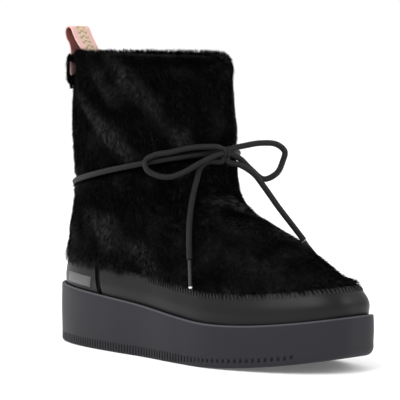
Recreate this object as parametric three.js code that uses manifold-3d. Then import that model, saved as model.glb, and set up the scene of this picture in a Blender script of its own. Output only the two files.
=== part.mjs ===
import * as THREE from "three";
import { mergeVertices } from "three/addons/utils/BufferGeometryUtils.js";
import Module from "manifold-3d";

// A right ankle boot of faux fur on a cupped rubber sole, in millimetres.
// +X runs to the toe, +Y to the inner side of the foot and +Z up from the floor.

const wasm = await Module();
wasm.setup();

// Sole sizes
const soleLength = 280;
const ballWidth = 97;
const heelHeight = 44;
const waistHeight = 38;
const ballHeight = 29.9;
const toeHeight = 27.3;
const toeSpring = 11.6;
const lipWidth = 2.7;
const lipDepth = 3;
const edgeBevel = 2.4;
const ribPitch = 3.2;
const ribDepth = 1.1;
const ribTop = 7;
const treadDepth = 3;
const treadWidth = 3.5;
const treadPitch = 12;
const treadRim = 8;
const waistRecess = 1.5;
const heelSpot = 44;

// Upper, overlay and insole sizes
const upperHeight = 173;
const wall = 6.5;
const clearance = 0.3;
const randThickness = 1.6;
const randSunk = 0.5;
const furOverhang = 1.2;
const seamAt = 64;
const seamGap = 0.6;
const labelThickness = 0.8;
const labelBack = 20;
const labelFront = 54;
const flapThickness = 3.2;
const insoleThickness = 4;

// Cord and pull loop sizes
const cordDiameter = 4.2;
const tieGroove = 3.2;
const knotDepth = 6;
const knotWidth = 6.6;
const knotHeight = 9;
const agletDiameter = 2.8;
const agletLength = 20;
const ribbonWidth = 18;
const ribbonThickness = 1.2;
const ribbonRise = 17;
const ribbonTurn = 0.37;

// Half widths of the sole from heel to toe, as shares of the ball width
const soleWidths = [
  { at: 0.0, lateral: 0.324, medial: 0.324 },
  { at: 0.12, lateral: 0.389, medial: 0.384 },
  { at: 0.28, lateral: 0.416, medial: 0.373 },
  { at: 0.42, lateral: 0.438, medial: 0.362 },
  { at: 0.56, lateral: 0.508, medial: 0.4 },
  { at: 0.68, lateral: 0.562, medial: 0.476 },
  { at: 0.8, lateral: 0.541, medial: 0.514 },
  { at: 0.9, lateral: 0.487, medial: 0.497 },
  { at: 1.0, lateral: 0.432, medial: 0.454 },
];

// How blunt the heel and toe are, and how far the toe turns inward as a share of the ball width
const endBluntness = 0.6;
const toeTurn = 0.02;

// Where the sole's side heights are measured, as shares of its length
const heightStations = [
  { at: 0.0, height: heelHeight },
  { at: 0.35, height: waistHeight },
  { at: 0.68, height: ballHeight },
  { at: 1.0, height: toeHeight },
];
const springStart = 0.6;

// Level lines of the upper from the sole's seat up to the collar, first along the boot: where each
// line starts and ends as a share of the sole's length, and how far it has risen above the seat there
// as a share of the upper's height
const upperProfile = [
  { level: 0.0, backX: 0.0107, backRise: 0.0, frontX: 0.9882, frontRise: 0.0 },
  { level: 0.1, backX: 0.0118, backRise: 0.05, frontX: 0.991, frontRise: 0.057 },
  { level: 0.2, backX: 0.0143, backRise: 0.102, frontX: 0.9768, frontRise: 0.106 },
  { level: 0.27, backX: 0.0175, backRise: 0.134, frontX: 0.9571, frontRise: 0.138 },
  { level: 0.34, backX: 0.0107, backRise: 0.175, frontX: 0.9179, frontRise: 0.172 },
  { level: 0.42, backX: 0.0143, backRise: 0.229, frontX: 0.8714, frontRise: 0.222 },
  { level: 0.5, backX: 0.025, backRise: 0.287, frontX: 0.8036, frontRise: 0.28 },
  { level: 0.56, backX: 0.0357, backRise: 0.339, frontX: 0.72, frontRise: 0.337 },
  { level: 0.61, backX: 0.0446, backRise: 0.38, frontX: 0.6429, frontRise: 0.389 },
  { level: 0.66, backX: 0.0518, backRise: 0.403, frontX: 0.6, frontRise: 0.453 },
  { level: 0.71, backX: 0.0571, backRise: 0.42, frontX: 0.5768, frontRise: 0.542 },
  { level: 0.76, backX: 0.0625, backRise: 0.437, frontX: 0.5714, frontRise: 0.623 },
  { level: 0.8, backX: 0.0625, backRise: 0.5, frontX: 0.5732, frontRise: 0.687 },
  { level: 0.87, backX: 0.0679, backRise: 0.657, frontX: 0.556, frontRise: 0.808 },
  { level: 0.94, backX: 0.0821, backRise: 0.842, frontX: 0.5385, frontRise: 0.925 },
  { level: 1.0, backX: 0.0929, backRise: 1.003, frontX: 0.523, frontRise: 1.016 },
];

// The same lines in plan. Half and inset are shares of the ball width, foot says how far a line follows
// the sole's outline rather than an oval, heel and toe how square its ends are, sag how far it dips
// with the sole, and dip how deep the collar's notch is there as a share of the upper's height
const upperPlan = [
  { level: 0.0, half: 0.44, inset: 0.031, foot: 1, heel: 0.6, toe: 0.6, sag: 1, dip: 0 },
  { level: 0.1, half: 0.44, inset: 0.022, foot: 1, heel: 0.61, toe: 0.61, sag: 1, dip: 0 },
  { level: 0.2, half: 0.44, inset: 0.036, foot: 1, heel: 0.64, toe: 0.64, sag: 1, dip: 0 },
  { level: 0.27, half: 0.44, inset: 0.047, foot: 1, heel: 0.67, toe: 0.67, sag: 1, dip: 0 },
  { level: 0.34, half: 0.45, inset: 0.05, foot: 0.95, heel: 0.72, toe: 0.74, sag: 0.9, dip: 0 },
  { level: 0.42, half: 0.455, inset: 0.06, foot: 0.8, heel: 0.78, toe: 0.82, sag: 0.7, dip: 0 },
  { level: 0.5, half: 0.46, inset: 0.07, foot: 0.6, heel: 0.84, toe: 0.95, sag: 0.4, dip: 0 },
  { level: 0.56, half: 0.46, inset: 0.07, foot: 0.45, heel: 0.9, toe: 1.15, sag: 0.2, dip: 0 },
  { level: 0.61, half: 0.455, inset: 0.07, foot: 0.3, heel: 0.95, toe: 1.3, sag: 0.1, dip: 0 },
  { level: 0.66, half: 0.452, inset: 0.07, foot: 0.15, heel: 1, toe: 1.25, sag: 0, dip: 0 },
  { level: 0.71, half: 0.45, inset: 0.07, foot: 0, heel: 1, toe: 1.1, sag: 0, dip: 0 },
  { level: 0.76, half: 0.4505, inset: 0.07, foot: 0, heel: 1, toe: 1, sag: 0, dip: 0 },
  { level: 0.8, half: 0.468, inset: 0.07, foot: 0, heel: 1, toe: 1, sag: 0, dip: 0 },
  { level: 0.87, half: 0.51, inset: 0.07, foot: 0, heel: 1, toe: 1, sag: 0, dip: 0.006 },
  { level: 0.94, half: 0.555, inset: 0.07, foot: 0, heel: 1, toe: 1, sag: 0, dip: 0.03 },
  { level: 1.0, half: 0.568, inset: 0.07, foot: 0, heel: 1, toe: 1, sag: 0, dip: 0.05 },
];
// Where the collar dips, as a turn past the front centre, and how widely
const notchTurn = 0.5;
const notchSpread = 0.34;

const randLevel = 0.262;
const tieLevel = 0.76;

// A smooth curve through one column of a table
function curveThrough(table, key, column) {
  const keys = table.map((row) => row[key]);
  const values = table.map((row) => row[column]);
  const last = keys.length - 1;
  const slopes = keys.map((_, i) => {
    const before = Math.max(i - 1, 0);
    const after = Math.min(i + 1, last);
    return (values[after] - values[before]) / (keys[after] - keys[before]);
  });
  return (at) => {
    const here = THREE.MathUtils.clamp(at, keys[0], keys[last]);
    let i = 0;
    while (i < last - 1 && here > keys[i + 1]) i += 1;
    const span = keys[i + 1] - keys[i];
    const s = (here - keys[i]) / span;
    const rise = values[i + 1] - values[i];
    const bendIn = slopes[i] * span - rise;
    const bendOut = rise - slopes[i + 1] * span;
    return values[i] + s * rise + s * (1 - s) * (bendIn * (1 - s) + bendOut * s);
  };
}

const { lerp, smoothstep } = THREE.MathUtils;

// The sole's outline and heights
const lateralWidth = curveThrough(soleWidths, "at", "lateral");
const medialWidth = curveThrough(soleWidths, "at", "medial");
const sideHeight = curveThrough(heightStations, "at", "height");

function treadHeight(x) {
  const share = THREE.MathUtils.clamp((x / soleLength - springStart) / (1 - springStart), 0, 1.05);
  return toeSpring * share * share;
}

function lipHeight(x) {
  return treadHeight(x) + sideHeight(x / soleLength);
}

function seatHeight(x) {
  return lipHeight(x) - lipDepth;
}

// Which way round the boot a turn lies: the outer side first, then back along the inner side
function side(turn) {
  return Math.sin(turn) >= 0 ? -1 : 1;
}

function footHalfWidth(x, turn) {
  const share = x / soleLength;
  return ballWidth * (side(turn) < 0 ? lateralWidth(share) : medialWidth(share));
}

function toeShift(x) {
  const share = Math.max((x / soleLength - 0.5) / 0.5, 0);
  return toeTurn * ballWidth * share * share;
}

function solePlan(turn) {
  const x = (soleLength * (1 - Math.cos(turn))) / 2;
  const close = Math.abs(Math.sin(turn)) ** endBluntness;
  return new THREE.Vector2(x, side(turn) * footHalfWidth(x, turn) * close + toeShift(x));
}

function insetPlan(turn, inset) {
  const step = 0.03;
  const along = solePlan(turn + step).sub(solePlan(turn - step)).normalize();
  return solePlan(turn).add(new THREE.Vector2(-along.y, along.x).multiplyScalar(inset));
}

// One point of the upper's surface, without its folds
const lineCurves = [upperProfile, upperPlan].flatMap((table) =>
  Object.keys(table[0])
    .filter((column) => column !== "level")
    .map((column) => [column, curveThrough(table, "level", column)]),
);

function lineAt(level) {
  return Object.fromEntries(lineCurves.map(([column, curve]) => [column, curve(level)]));
}

// How near a turn is to the notch of the collar, just inside of the front centre
function notchAt(turn) {
  const from = Math.atan2(Math.sin(turn - Math.PI - notchTurn), Math.cos(turn - Math.PI - notchTurn));
  return Math.exp(-((from / notchSpread) ** 2));
}

function skinOn(line, turn) {
  const along = (1 - Math.cos(turn)) / 2;
  const x = soleLength * lerp(line.backX, line.frontX, along);
  const oval = ballWidth * line.half;
  const foot = footHalfWidth(x, turn) - ballWidth * line.inset;
  const close = Math.abs(Math.sin(turn)) ** lerp(line.heel, line.toe, along);
  const y = side(turn) * lerp(oval, foot, line.foot) * close + toeShift(x) * line.foot;
  const straight = lerp(seatHeight(0), seatHeight(soleLength), along);
  const floor = lerp(straight, seatHeight(x), line.sag) + clearance;
  const rise = lerp(line.backRise, line.frontRise, along) - line.dip * notchAt(turn);
  return new THREE.Vector3(x, y, floor + upperHeight * rise);
}

function upperPoint(turn, level, out) {
  const turnStep = 0.03;
  const levelStep = 0.008;
  const line = lineAt(level);
  const above = lineAt(Math.min(level + levelStep, 1));
  const below = lineAt(Math.max(level - levelStep, 0));
  const round = skinOn(line, turn + turnStep).sub(skinOn(line, turn - turnStep));
  const up = skinOn(above, turn).sub(skinOn(below, turn));
  const normal = round.cross(up).normalize();
  return skinOn(line, turn).addScaledVector(normal, out);
}

// Rings of points round the boot
function turnsRound(count) {
  return Array.from({ length: count }, (_, i) => (2 * Math.PI * i) / count);
}

function ring(turns, pointAt) {
  return { at: turns.map((turn) => turn / (2 * Math.PI)), points: turns.map(pointAt) };
}

// Meshes from points and faces
function geometryOf(points, faces) {
  const geometry = new THREE.BufferGeometry();
  const values = new Float32Array(points.flatMap((p) => [p.x, p.y, p.z]));
  geometry.setAttribute("position", new THREE.BufferAttribute(values, 3));
  geometry.setIndex(faces.flat());
  return geometry;
}

// A closed skin over a chain of rings, capped at both ends or joined back to its first ring
function skinOver(rings, joined) {
  const points = [];
  const faces = [];
  const starts = rings.map((one) => points.push(...one.points) - one.points.length);
  const pairs = rings.length - (joined ? 0 : 1);
  for (let r = 0; r < pairs; r += 1) {
    const low = rings[r];
    const high = rings[(r + 1) % rings.length];
    const a = starts[r];
    const b = starts[(r + 1) % rings.length];
    const n = low.points.length;
    const m = high.points.length;
    let i = 0;
    let j = 0;
    while (i < n || j < m) {
      const nextLow = i + 1 < n ? low.at[i + 1] : 1;
      const nextHigh = j + 1 < m ? high.at[j + 1] : 1;
      if (j === m || (i < n && nextLow <= nextHigh + 1e-9)) {
        faces.push([a + (i % n), a + ((i + 1) % n), b + (j % m)]);
        i += 1;
      } else {
        faces.push([a + (i % n), b + ((j + 1) % m), b + (j % m)]);
        j += 1;
      }
    }
  }
  if (!joined) {
    const firstCount = rings[0].points.length;
    const lastCount = rings.at(-1).points.length;
    faces.push(...capOf(starts[0], firstCount).map((face) => face.reverse()));
    faces.push(...capOf(starts.at(-1), lastCount));
  }
  return geometryOf(points, faces);
}

// A cap of strips from the outer to the inner side
function capOf(start, count) {
  const faces = [];
  for (let i = 0; i < count / 2; i += 1) {
    const outerNow = start + i;
    const outerNext = start + i + 1;
    const innerNow = start + ((count - i) % count);
    const innerNext = start + count - i - 1;
    if (outerNext !== innerNext) faces.push([outerNow, outerNext, innerNext]);
    if (outerNow !== innerNow) faces.push([outerNow, innerNext, innerNow]);
  }
  return faces;
}

// A slab between two matching grids of points, the outer one first
function slab(outer, inner) {
  const rows = outer.length;
  const columns = outer[0].length;
  const points = [...outer.flat(), ...inner.flat()];
  const out = (r, c) => r * columns + c;
  const within = (r, c) => rows * columns + r * columns + c;
  const faces = [];
  const quad = (a, b, c, d) => faces.push([a, b, c], [a, c, d]);
  for (let r = 0; r < rows - 1; r += 1) {
    for (let c = 0; c < columns - 1; c += 1) {
      quad(out(r, c), out(r, c + 1), out(r + 1, c + 1), out(r + 1, c));
      quad(within(r, c), within(r + 1, c), within(r + 1, c + 1), within(r, c + 1));
    }
    quad(out(r, 0), out(r + 1, 0), within(r + 1, 0), within(r, 0));
    quad(within(r, columns - 1), within(r + 1, columns - 1), out(r + 1, columns - 1), out(r, columns - 1));
  }
  for (let c = 0; c < columns - 1; c += 1) {
    quad(within(0, c), within(0, c + 1), out(0, c + 1), out(0, c));
    quad(out(rows - 1, c), out(rows - 1, c + 1), within(rows - 1, c + 1), within(rows - 1, c));
  }
  return geometryOf(points, faces);
}

// Cuts and joins of closed solids
function solidOf(geometry) {
  const bare = geometry.clone();
  bare.deleteAttribute("normal");
  bare.deleteAttribute("uv");
  const merged = mergeVertices(bare, 1e-4);
  return new wasm.Manifold(
    new wasm.Mesh({
      numProp: 3,
      vertProperties: new Float32Array(merged.attributes.position.array),
      triVerts: new Uint32Array(merged.index.array),
    }),
  );
}

function geometryFrom(solid) {
  const mesh = solid.getMesh();
  const geometry = new THREE.BufferGeometry();
  const values = new Float32Array(mesh.vertProperties);
  geometry.setAttribute("position", new THREE.BufferAttribute(values, 3));
  geometry.setIndex(new THREE.BufferAttribute(new Uint32Array(mesh.triVerts), 1));
  return geometry;
}

// Materials
function matt(color, roughness) {
  return new THREE.MeshStandardMaterial({ color, roughness, metalness: 0 });
}

const furBlack = matt(0x1b1b1d, 0.95);
const leatherGrey = matt(0x3c3c40, 0.5);
const rubberGrey = matt(0x3a3a42, 0.6);
const labelGrey = matt(0x5f5f62, 0.55);
const cordBlack = matt(0x2e2e30, 0.8);
const ribbonPink = matt(0xd9a9a2, 0.6);
const feltDark = matt(0x252527, 0.9);

const boot = new THREE.Group();
boot.position.x = -heelSpot;

function place(name, geometry, material) {
  const mesh = new THREE.Mesh(geometry, material);
  mesh.name = name;
  boot.add(mesh);
}

// Sole: a cupped rubber unit with ribs round its lower edge, spaced evenly along the outline
function ribTurns() {
  const fine = turnsRound(2880);
  const lengths = [0];
  for (let i = 1; i <= fine.length; i += 1) {
    const next = i === fine.length ? 2 * Math.PI : fine[i];
    lengths.push(lengths[i - 1] + solePlan(next).distanceTo(solePlan(fine[i - 1])));
  }
  const around = lengths.at(-1);
  const count = 4 * Math.round(around / ribPitch / 2);
  const turns = [];
  let i = 0;
  for (let k = 0; k < count; k += 1) {
    const wanted = (around * k) / count;
    while (lengths[i + 1] < wanted) i += 1;
    const share = (wanted - lengths[i]) / (lengths[i + 1] - lengths[i]);
    turns.push(((i + share) * 2 * Math.PI) / fine.length);
  }
  return turns;
}

function soleRing(turns, inset, heightAt) {
  return ring(turns, (turn) => {
    const plan = insetPlan(turn, inset);
    const height = typeof heightAt === "function" ? heightAt(plan.x) : heightAt;
    return new THREE.Vector3(plan.x, plan.y, height);
  });
}

function ribRing(turns, height, fadeFrom, fadeTo) {
  const made = ring(turns, () => null);
  made.points = turns.map((turn, i) => {
    const share = solePlan(turn).x / soleLength;
    const depth = i % 2 ? ribDepth * (1 - smoothstep(share, fadeFrom, fadeTo)) : 0;
    const plan = insetPlan(turn, depth);
    return new THREE.Vector3(plan.x, plan.y, treadHeight(plan.x) + height);
  });
  return made;
}

function soleBody() {
  const turns = turnsRound(96);
  const fine = ribTurns();
  const rings = [
    soleRing(turns, edgeBevel, treadHeight),
    ribRing(fine, edgeBevel / 2, 0.4, 0.5),
    ribRing(fine, ribTop, 0.62, 0.7),
    soleRing(turns, 0, (x) => treadHeight(x) + ribTop + ribDepth),
    soleRing(turns, 0, (x) => lipHeight(x) - lipWidth / 2),
    soleRing(turns, lipWidth / 4, lipHeight),
    soleRing(turns, lipWidth - lipWidth / 4, lipHeight),
    soleRing(turns, lipWidth, seatHeight),
  ];
  return skinOver(rings, false);
}

// Tread: slots across the heel and the forefoot, and a shallow waist between them
function treadCuts() {
  const cuts = [];
  const slotAt = (x, width, depth, lean) => {
    const turn = Math.acos(1 - (2 * x) / soleLength);
    const outer = solePlan(turn).y + treadRim;
    const inner = solePlan(2 * Math.PI - turn).y - treadRim;
    const slot = new THREE.BoxGeometry(width, inner - outer, 2 * depth);
    const slope = Math.atan(treadHeight(x + 1) - treadHeight(x));
    slot.rotateZ(lean);
    slot.rotateY(-slope);
    slot.translate(x, (inner + outer) / 2, treadHeight(x));
    cuts.push(solidOf(slot));
  };
  const heelEnd = 0.3 * soleLength;
  const ballStart = 0.54 * soleLength;
  const ballEnd = 0.92 * soleLength;
  for (let k = -2.5; heelSpot + k * treadPitch < heelEnd; k += 1) {
    slotAt(heelSpot + k * treadPitch, treadWidth, treadDepth, 0.1);
  }
  for (let x = ballStart; x < ballEnd; x += treadPitch) slotAt(x, treadWidth, treadDepth, -0.1);
  const waistLength = ballStart - heelEnd - treadPitch;
  slotAt((heelEnd + ballStart) / 2, waistLength, waistRecess, 0);
  return cuts;
}

const sole = treadCuts().reduce((body, cut) => body.subtract(cut), solidOf(soleBody()));
place("sole_unit", geometryFrom(sole), rubberGrey);

// Upper: a hollow boot of fur with a lining, open at the collar and where the sole closes it
const randSeat = randThickness + randSunk + clearance;

// The flap's outline on the shaft, as turns from the front centre and levels, and how far its free
// edge leans to the inner side on its way up
const flap = { from: -1.05, to: 0.24, lean: 0.27, low: 0.785, high: 0.972, corner: 0.05, round: 0.3 };

function flapEdge(level) {
  const share = THREE.MathUtils.clamp((level - flap.low) / (flap.high - flap.low), 0, 1);
  return flap.to + flap.lean * share * share;
}

function flapRecess(turn, level) {
  const from = turn - Math.PI;
  const behind = smoothstep(from, flap.from - 0.3, flap.from);
  const edge = flapEdge(level);
  const beyond = 1 - smoothstep(from, edge + 0.08, edge + 0.75);
  const below = smoothstep(level, flap.low - 0.02, flap.low - 0.003);
  const above = 1 - smoothstep(level, flap.high + 0.003, flap.high + 0.02);
  return (flapThickness + 2 * clearance) * behind * beyond * below * above;
}

function outerSkin(turn, level, out, lift) {
  const groove = tieGroove * Math.exp(-(((level - tieLevel) / 0.018) ** 2));
  const point = upperPoint(turn, level, out - groove - flapRecess(turn, level));
  point.z += lift;
  return point;
}

const upperRings = [
  { level: 0.0, out: -randSeat, lift: 0 },
  { level: 0.09, out: -randSeat, lift: 0 },
  { level: 0.18, out: -randSeat, lift: 0 },
  { level: 0.27, out: -randSeat, lift: 0 },
  { level: 0.275, out: furOverhang / 2, lift: 0 },
  { level: 0.3, out: furOverhang, lift: 0 },
  { level: 0.35, out: furOverhang / 2, lift: 0 },
  { level: 0.41, out: 0, lift: 0 },
  { level: 0.47, out: 0, lift: 0 },
  { level: 0.53, out: 0, lift: 0 },
  { level: 0.59, out: 0, lift: 0 },
  { level: 0.64, out: 0, lift: 0 },
  { level: 0.69, out: 0, lift: 0 },
  { level: 0.735, out: 0, lift: 0 },
  { level: 0.748, out: 0, lift: 0 },
  { level: 0.76, out: 0, lift: 0 },
  { level: 0.771, out: 0, lift: 0 },
  { level: 0.782, out: 0, lift: 0 },
  { level: 0.82, out: 0, lift: 0 },
  { level: 0.86, out: 0, lift: 0 },
  { level: 0.91, out: 0, lift: 0 },
  { level: 0.95, out: 0, lift: 0 },
  { level: 0.975, out: 0, lift: 0 },
  { level: 1.0, out: -0.2 * wall, lift: -0.1 * wall },
  { level: 1.0, out: -0.5 * wall, lift: 0.1 * wall },
  { level: 1.0, out: -0.85 * wall, lift: -0.1 * wall },
];
const liningLevels = [0.96, 0.9, 0.83, 0.76, 0.7, 0.63, 0.55, 0.46, 0.36, 0.27, 0.18, 0.09, 0];

const upperColumns = 56;

function upperBody() {
  const turns = turnsRound(upperColumns);
  const outside = upperRings.map(({ level, out, lift }) =>
    ring(turns, (turn) => outerSkin(turn, level, out, lift)),
  );
  const inside = liningLevels.map((level) => ring(turns, (turn) => upperPoint(turn, level, -wall)));
  const rings = [...outside, ...inside];
  for (const open of [rings[0], rings.at(-1)]) {
    for (const point of open.points) point.z = seatHeight(point.x) + clearance;
  }
  return skinOver(rings, true);
}

place("upper", upperBody(), furBlack);

// Insole: a thin bed on the sole's seat, inside the lining
function insoleBody() {
  const turns = turnsRound(48);
  const bed = (level, rise) =>
    ring(turns, (turn) => {
      const point = upperPoint(turn, level, -wall - 3 * clearance);
      point.z = seatHeight(point.x) + clearance + rise;
      return point;
    });
  return skinOver([bed(0, 0), bed(0, insoleThickness)], false);
}

place("insole", insoleBody(), feltDark);

// Overlays that follow the upper's own surface
function overlay(turns, levels, inside, thickness) {
  const face = (out) => levels.map((level) => turns.map((turn) => upperPoint(turn, level, out)));
  return slab(face(inside + thickness), face(inside));
}

function spread(from, to, count) {
  return Array.from({ length: count + 1 }, (_, i) => lerp(from, to, i / count));
}

// The turn at which a level line passes a given X on its outer side
function turnAtX(level, x) {
  const line = lineAt(level);
  const along = (x / soleLength - line.backX) / (line.frontX - line.backX);
  return Math.acos(1 - 2 * THREE.MathUtils.clamp(along, 0, 1));
}

const randLevels = [0.004, 0.09, 0.18, randLevel];
const seamTurn = turnAtX(0, seamAt);
const seamHalf = turnAtX(0, seamAt + seamGap / 2) - seamTurn;
const randTurns = spread(seamTurn + seamHalf, 2 * Math.PI - seamTurn - seamHalf, 56);
const counterTurns = spread(-seamTurn + seamHalf, seamTurn - seamHalf, 20);
const randInside = -randSunk - randThickness;
place("rand", overlay(randTurns, randLevels, randInside, randThickness), leatherGrey);
place("heel_counter", overlay(counterTurns, randLevels, randInside, randThickness), leatherGrey);

// Ankle cord: a ring that lies in the groove round the ankle
const cordRadius = cordDiameter / 2;
const cordSides = 8;

function cordCentre(turn) {
  return upperPoint(turn, tieLevel, 2 * clearance + cordRadius - tieGroove);
}

function ankleRing() {
  const sections = turnsRound(upperColumns).map((turn) => {
    const centre = cordCentre(turn);
    const along = cordCentre(turn + 0.02).sub(cordCentre(turn - 0.02)).normalize();
    const up = new THREE.Vector3(0, 0, 1).addScaledVector(along, -along.z).normalize();
    const outward = new THREE.Vector3().crossVectors(along, up);
    return ring(turnsRound(cordSides), (angle) =>
      centre
        .clone()
        .addScaledVector(up, cordRadius * Math.cos(angle))
        .addScaledVector(outward, cordRadius * Math.sin(angle)),
    );
  });
  return skinOver(sections, true);
}

place("ankle_cord", ankleRing(), cordBlack);

// Front flap: the outer panel of the shaft laps over the inner one and ends in a free edge
function flapBody() {
  const levels = spread(flap.low, flap.high, 9);
  const columns = spread(0, 1, 14);
  const at = (level, share, out) => {
    const short = Math.max(level - flap.high + flap.corner, 0) / flap.corner;
    const edge = flapEdge(level) - flap.round * (1 - Math.sqrt(1 - short * short));
    return upperPoint(Math.PI + lerp(flap.from, edge, share), level, out);
  };
  const outer = levels.map((level) => columns.map((share) => at(level, share, 0)));
  const inner = levels.map((level) => columns.map((share) => at(level, share, -flapThickness)));
  return slab(outer, inner);
}

place("front_flap", flapBody(), furBlack);

// Side label: a bare patch on the outer side of the heel counter
const labelTurns = spread(turnAtX(0, labelBack), turnAtX(0, labelFront), 5);
const labelLevels = [0.062, 0.105, 0.148];
place("side_label", overlay(labelTurns, labelLevels, clearance - randSunk, labelThickness), labelGrey);

// Pull loop: a ribbon sewn outside and inside the collar, standing up as a finger loop at the back
function ribbonSection(centre, along, across) {
  const face = new THREE.Vector3().crossVectors(along, across).normalize();
  const corners = [
    [1, 1],
    [-1, 1],
    [-1, -1],
    [1, -1],
  ];
  return {
    at: corners.map((_, i) => i / corners.length),
    points: corners.map(([a, b]) =>
      centre
        .clone()
        .addScaledVector(across, (a * ribbonWidth) / 2)
        .addScaledVector(face, (b * ribbonThickness) / 2),
    ),
  };
}

// Stations along the ribbon: how far out from the collar's outer face, how high above the collar,
// as shares of the wall and of the loop's rise, and how far the ribbon has turned to face back
const ribbonStations = [
  { out: 0.75, up: -1.6, turned: 0 },
  { out: 0.45, up: -1.0, turned: 0 },
  { out: 0.2, up: -0.5, turned: 0 },
  { out: 0.28, up: 0.06, turned: 0.1 },
  { out: 0.4, up: 0.22, turned: 0.4 },
  { out: 0.58, up: 0.42, turned: 0.8 },
  { out: 0.76, up: 0.7, turned: 1 },
  { out: 0.74, up: 0.88, turned: 1 },
  { out: 0.48, up: 0.98, turned: 1 },
  { out: 0.12, up: 1.0, turned: 1 },
  { out: -0.2, up: 0.93, turned: 1 },
  { out: -0.42, up: 0.78, turned: 1 },
  { out: -0.82, up: 0.52, turned: 1 },
  { out: -1.22, up: 0.3, turned: 0.95 },
  { out: -1.58, up: 0.08, turned: 0.8 },
  { out: -1.72, up: -0.2, turned: 0.6 },
  { out: -1.68, up: -0.5, turned: 0.35 },
  { out: -1.56, up: -0.8, turned: 0.12 },
  { out: -1.45, up: -1.1, turned: 0 },
];

function pullLoop() {
  const rim = upperPoint(ribbonTurn, 1, 0);
  const onShaft = upperPoint(ribbonTurn, 1, 10).sub(rim);
  const outward = new THREE.Vector3(onShaft.x, onShaft.y, 0).normalize();
  const across = new THREE.Vector3(-outward.y, outward.x, 0);
  const back = new THREE.Vector3(-1, 0, 0);
  const sideways = new THREE.Vector3(0, -1, 0);
  const centres = ribbonStations.map(({ out, up, turned }) => {
    const facing = outward.clone().lerp(back, turned).normalize();
    const centre = rim.clone().addScaledVector(facing, out * wall);
    centre.z += up * ribbonRise;
    return centre;
  });
  const sections = centres.map((centre, i) => {
    const before = centres[Math.max(i - 1, 0)];
    const after = centres[Math.min(i + 1, centres.length - 1)];
    const along = after.clone().sub(before).normalize();
    const wide = across.clone().lerp(sideways, ribbonStations[i].turned).normalize();
    return ribbonSection(centre, along, wide);
  });
  return skinOver(sections, false);
}

place("pull_loop", pullLoop(), ribbonPink);

// Bow: a knot, two loops and two ends of the same cord, with a tip on each end
const bowLoopOuter = [
  [163, -11.8, 147.5],
  [158, -18, 148],
  [149, -27, 147],
  [138, -34, 144],
  [128, -39, 142],
  [122, -42, 138],
  [124, -43, 132],
  [131, -40, 128],
  [139, -36, 127],
  [148, -32, 130],
  [156.6, -25.5, 136.1],
  [162.4, -17.3, 141.1],
  [164.3, -11.8, 142.8],
];
const bowLoopInner = [
  [165.5, -2.9, 146],
  [171, 7, 148.5],
  [176, 17, 150],
  [182, 27, 149],
  [186, 31, 144],
  [185, 30, 137],
  [184, 25, 129],
  [179, 17, 125],
  [174, 9, 132],
  [170, 3, 139],
  [166.2, -2.5, 142.6],
];
const bowEndOuter = [
  [163.6, -9.2, 138],
  [157.2, -17.4, 137.4],
  [154.4, -21.2, 133],
  [153.6, -23.4, 126],
  [153.8, -28, 113],
  [158, -35, 100],
  [164, -42, 86],
  [168, -45.5, 72],
];
const bowEndInner = [
  [165.8, -5.2, 137.4],
  [173, 0, 135],
  [179, 7, 129],
  [184, 12, 120],
  [193, 17, 106],
  [200, 22, 95],
  [207, 28, 83],
];

const origin = new THREE.Vector2(0, 0);

function pathThrough(points) {
  return new THREE.CatmullRomCurve3(points.map(([x, y, z]) => new THREE.Vector3(x, y, z)));
}

function cordAlong(path, steps) {
  const corners = turnsRound(cordSides).map((angle) =>
    new THREE.Vector2(cordRadius, 0).rotateAround(origin, angle),
  );
  const section = new THREE.Shape(corners);
  return new THREE.ExtrudeGeometry(section, { steps, extrudePath: path, bevelEnabled: false });
}

function tipOn(path) {
  const along = path.getTangent(1);
  const tipRadius = agletDiameter / 2;
  const tip = new THREE.CylinderGeometry(tipRadius, tipRadius, agletLength, cordSides);
  tip.applyQuaternion(new THREE.Quaternion().setFromUnitVectors(new THREE.Vector3(0, 1, 0), along));
  const centre = path.getPoint(1).addScaledVector(along, clearance + agletLength / 2);
  tip.translate(centre.x, centre.y, centre.z);
  return tip;
}

const knot = new THREE.SphereGeometry(1, 12, 8);
knot.scale(knotDepth / 2, knotWidth / 2, knotHeight / 2);
knot.rotateZ(-0.12);
const knotTurn = Math.PI - 0.12;
const knotOut = 3 * clearance + cordDiameter - tieGroove + knotDepth / 2;
const knotCentre = upperPoint(knotTurn, tieLevel, knotOut);
knot.translate(knotCentre.x, knotCentre.y, knotCentre.z);
place("bow_knot", knot, cordBlack);
place("bow_loop_outer", cordAlong(pathThrough(bowLoopOuter), 22), cordBlack);
place("bow_loop_inner", cordAlong(pathThrough(bowLoopInner), 22), cordBlack);
for (const [name, points] of [
  ["outer", bowEndOuter],
  ["inner", bowEndInner],
]) {
  const path = pathThrough(points);
  place(`bow_end_${name}`, cordAlong(path, 12), cordBlack);
  place(`bow_tip_${name}`, tipOn(path), cordBlack);
}

export default boot;
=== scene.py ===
import math

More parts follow.
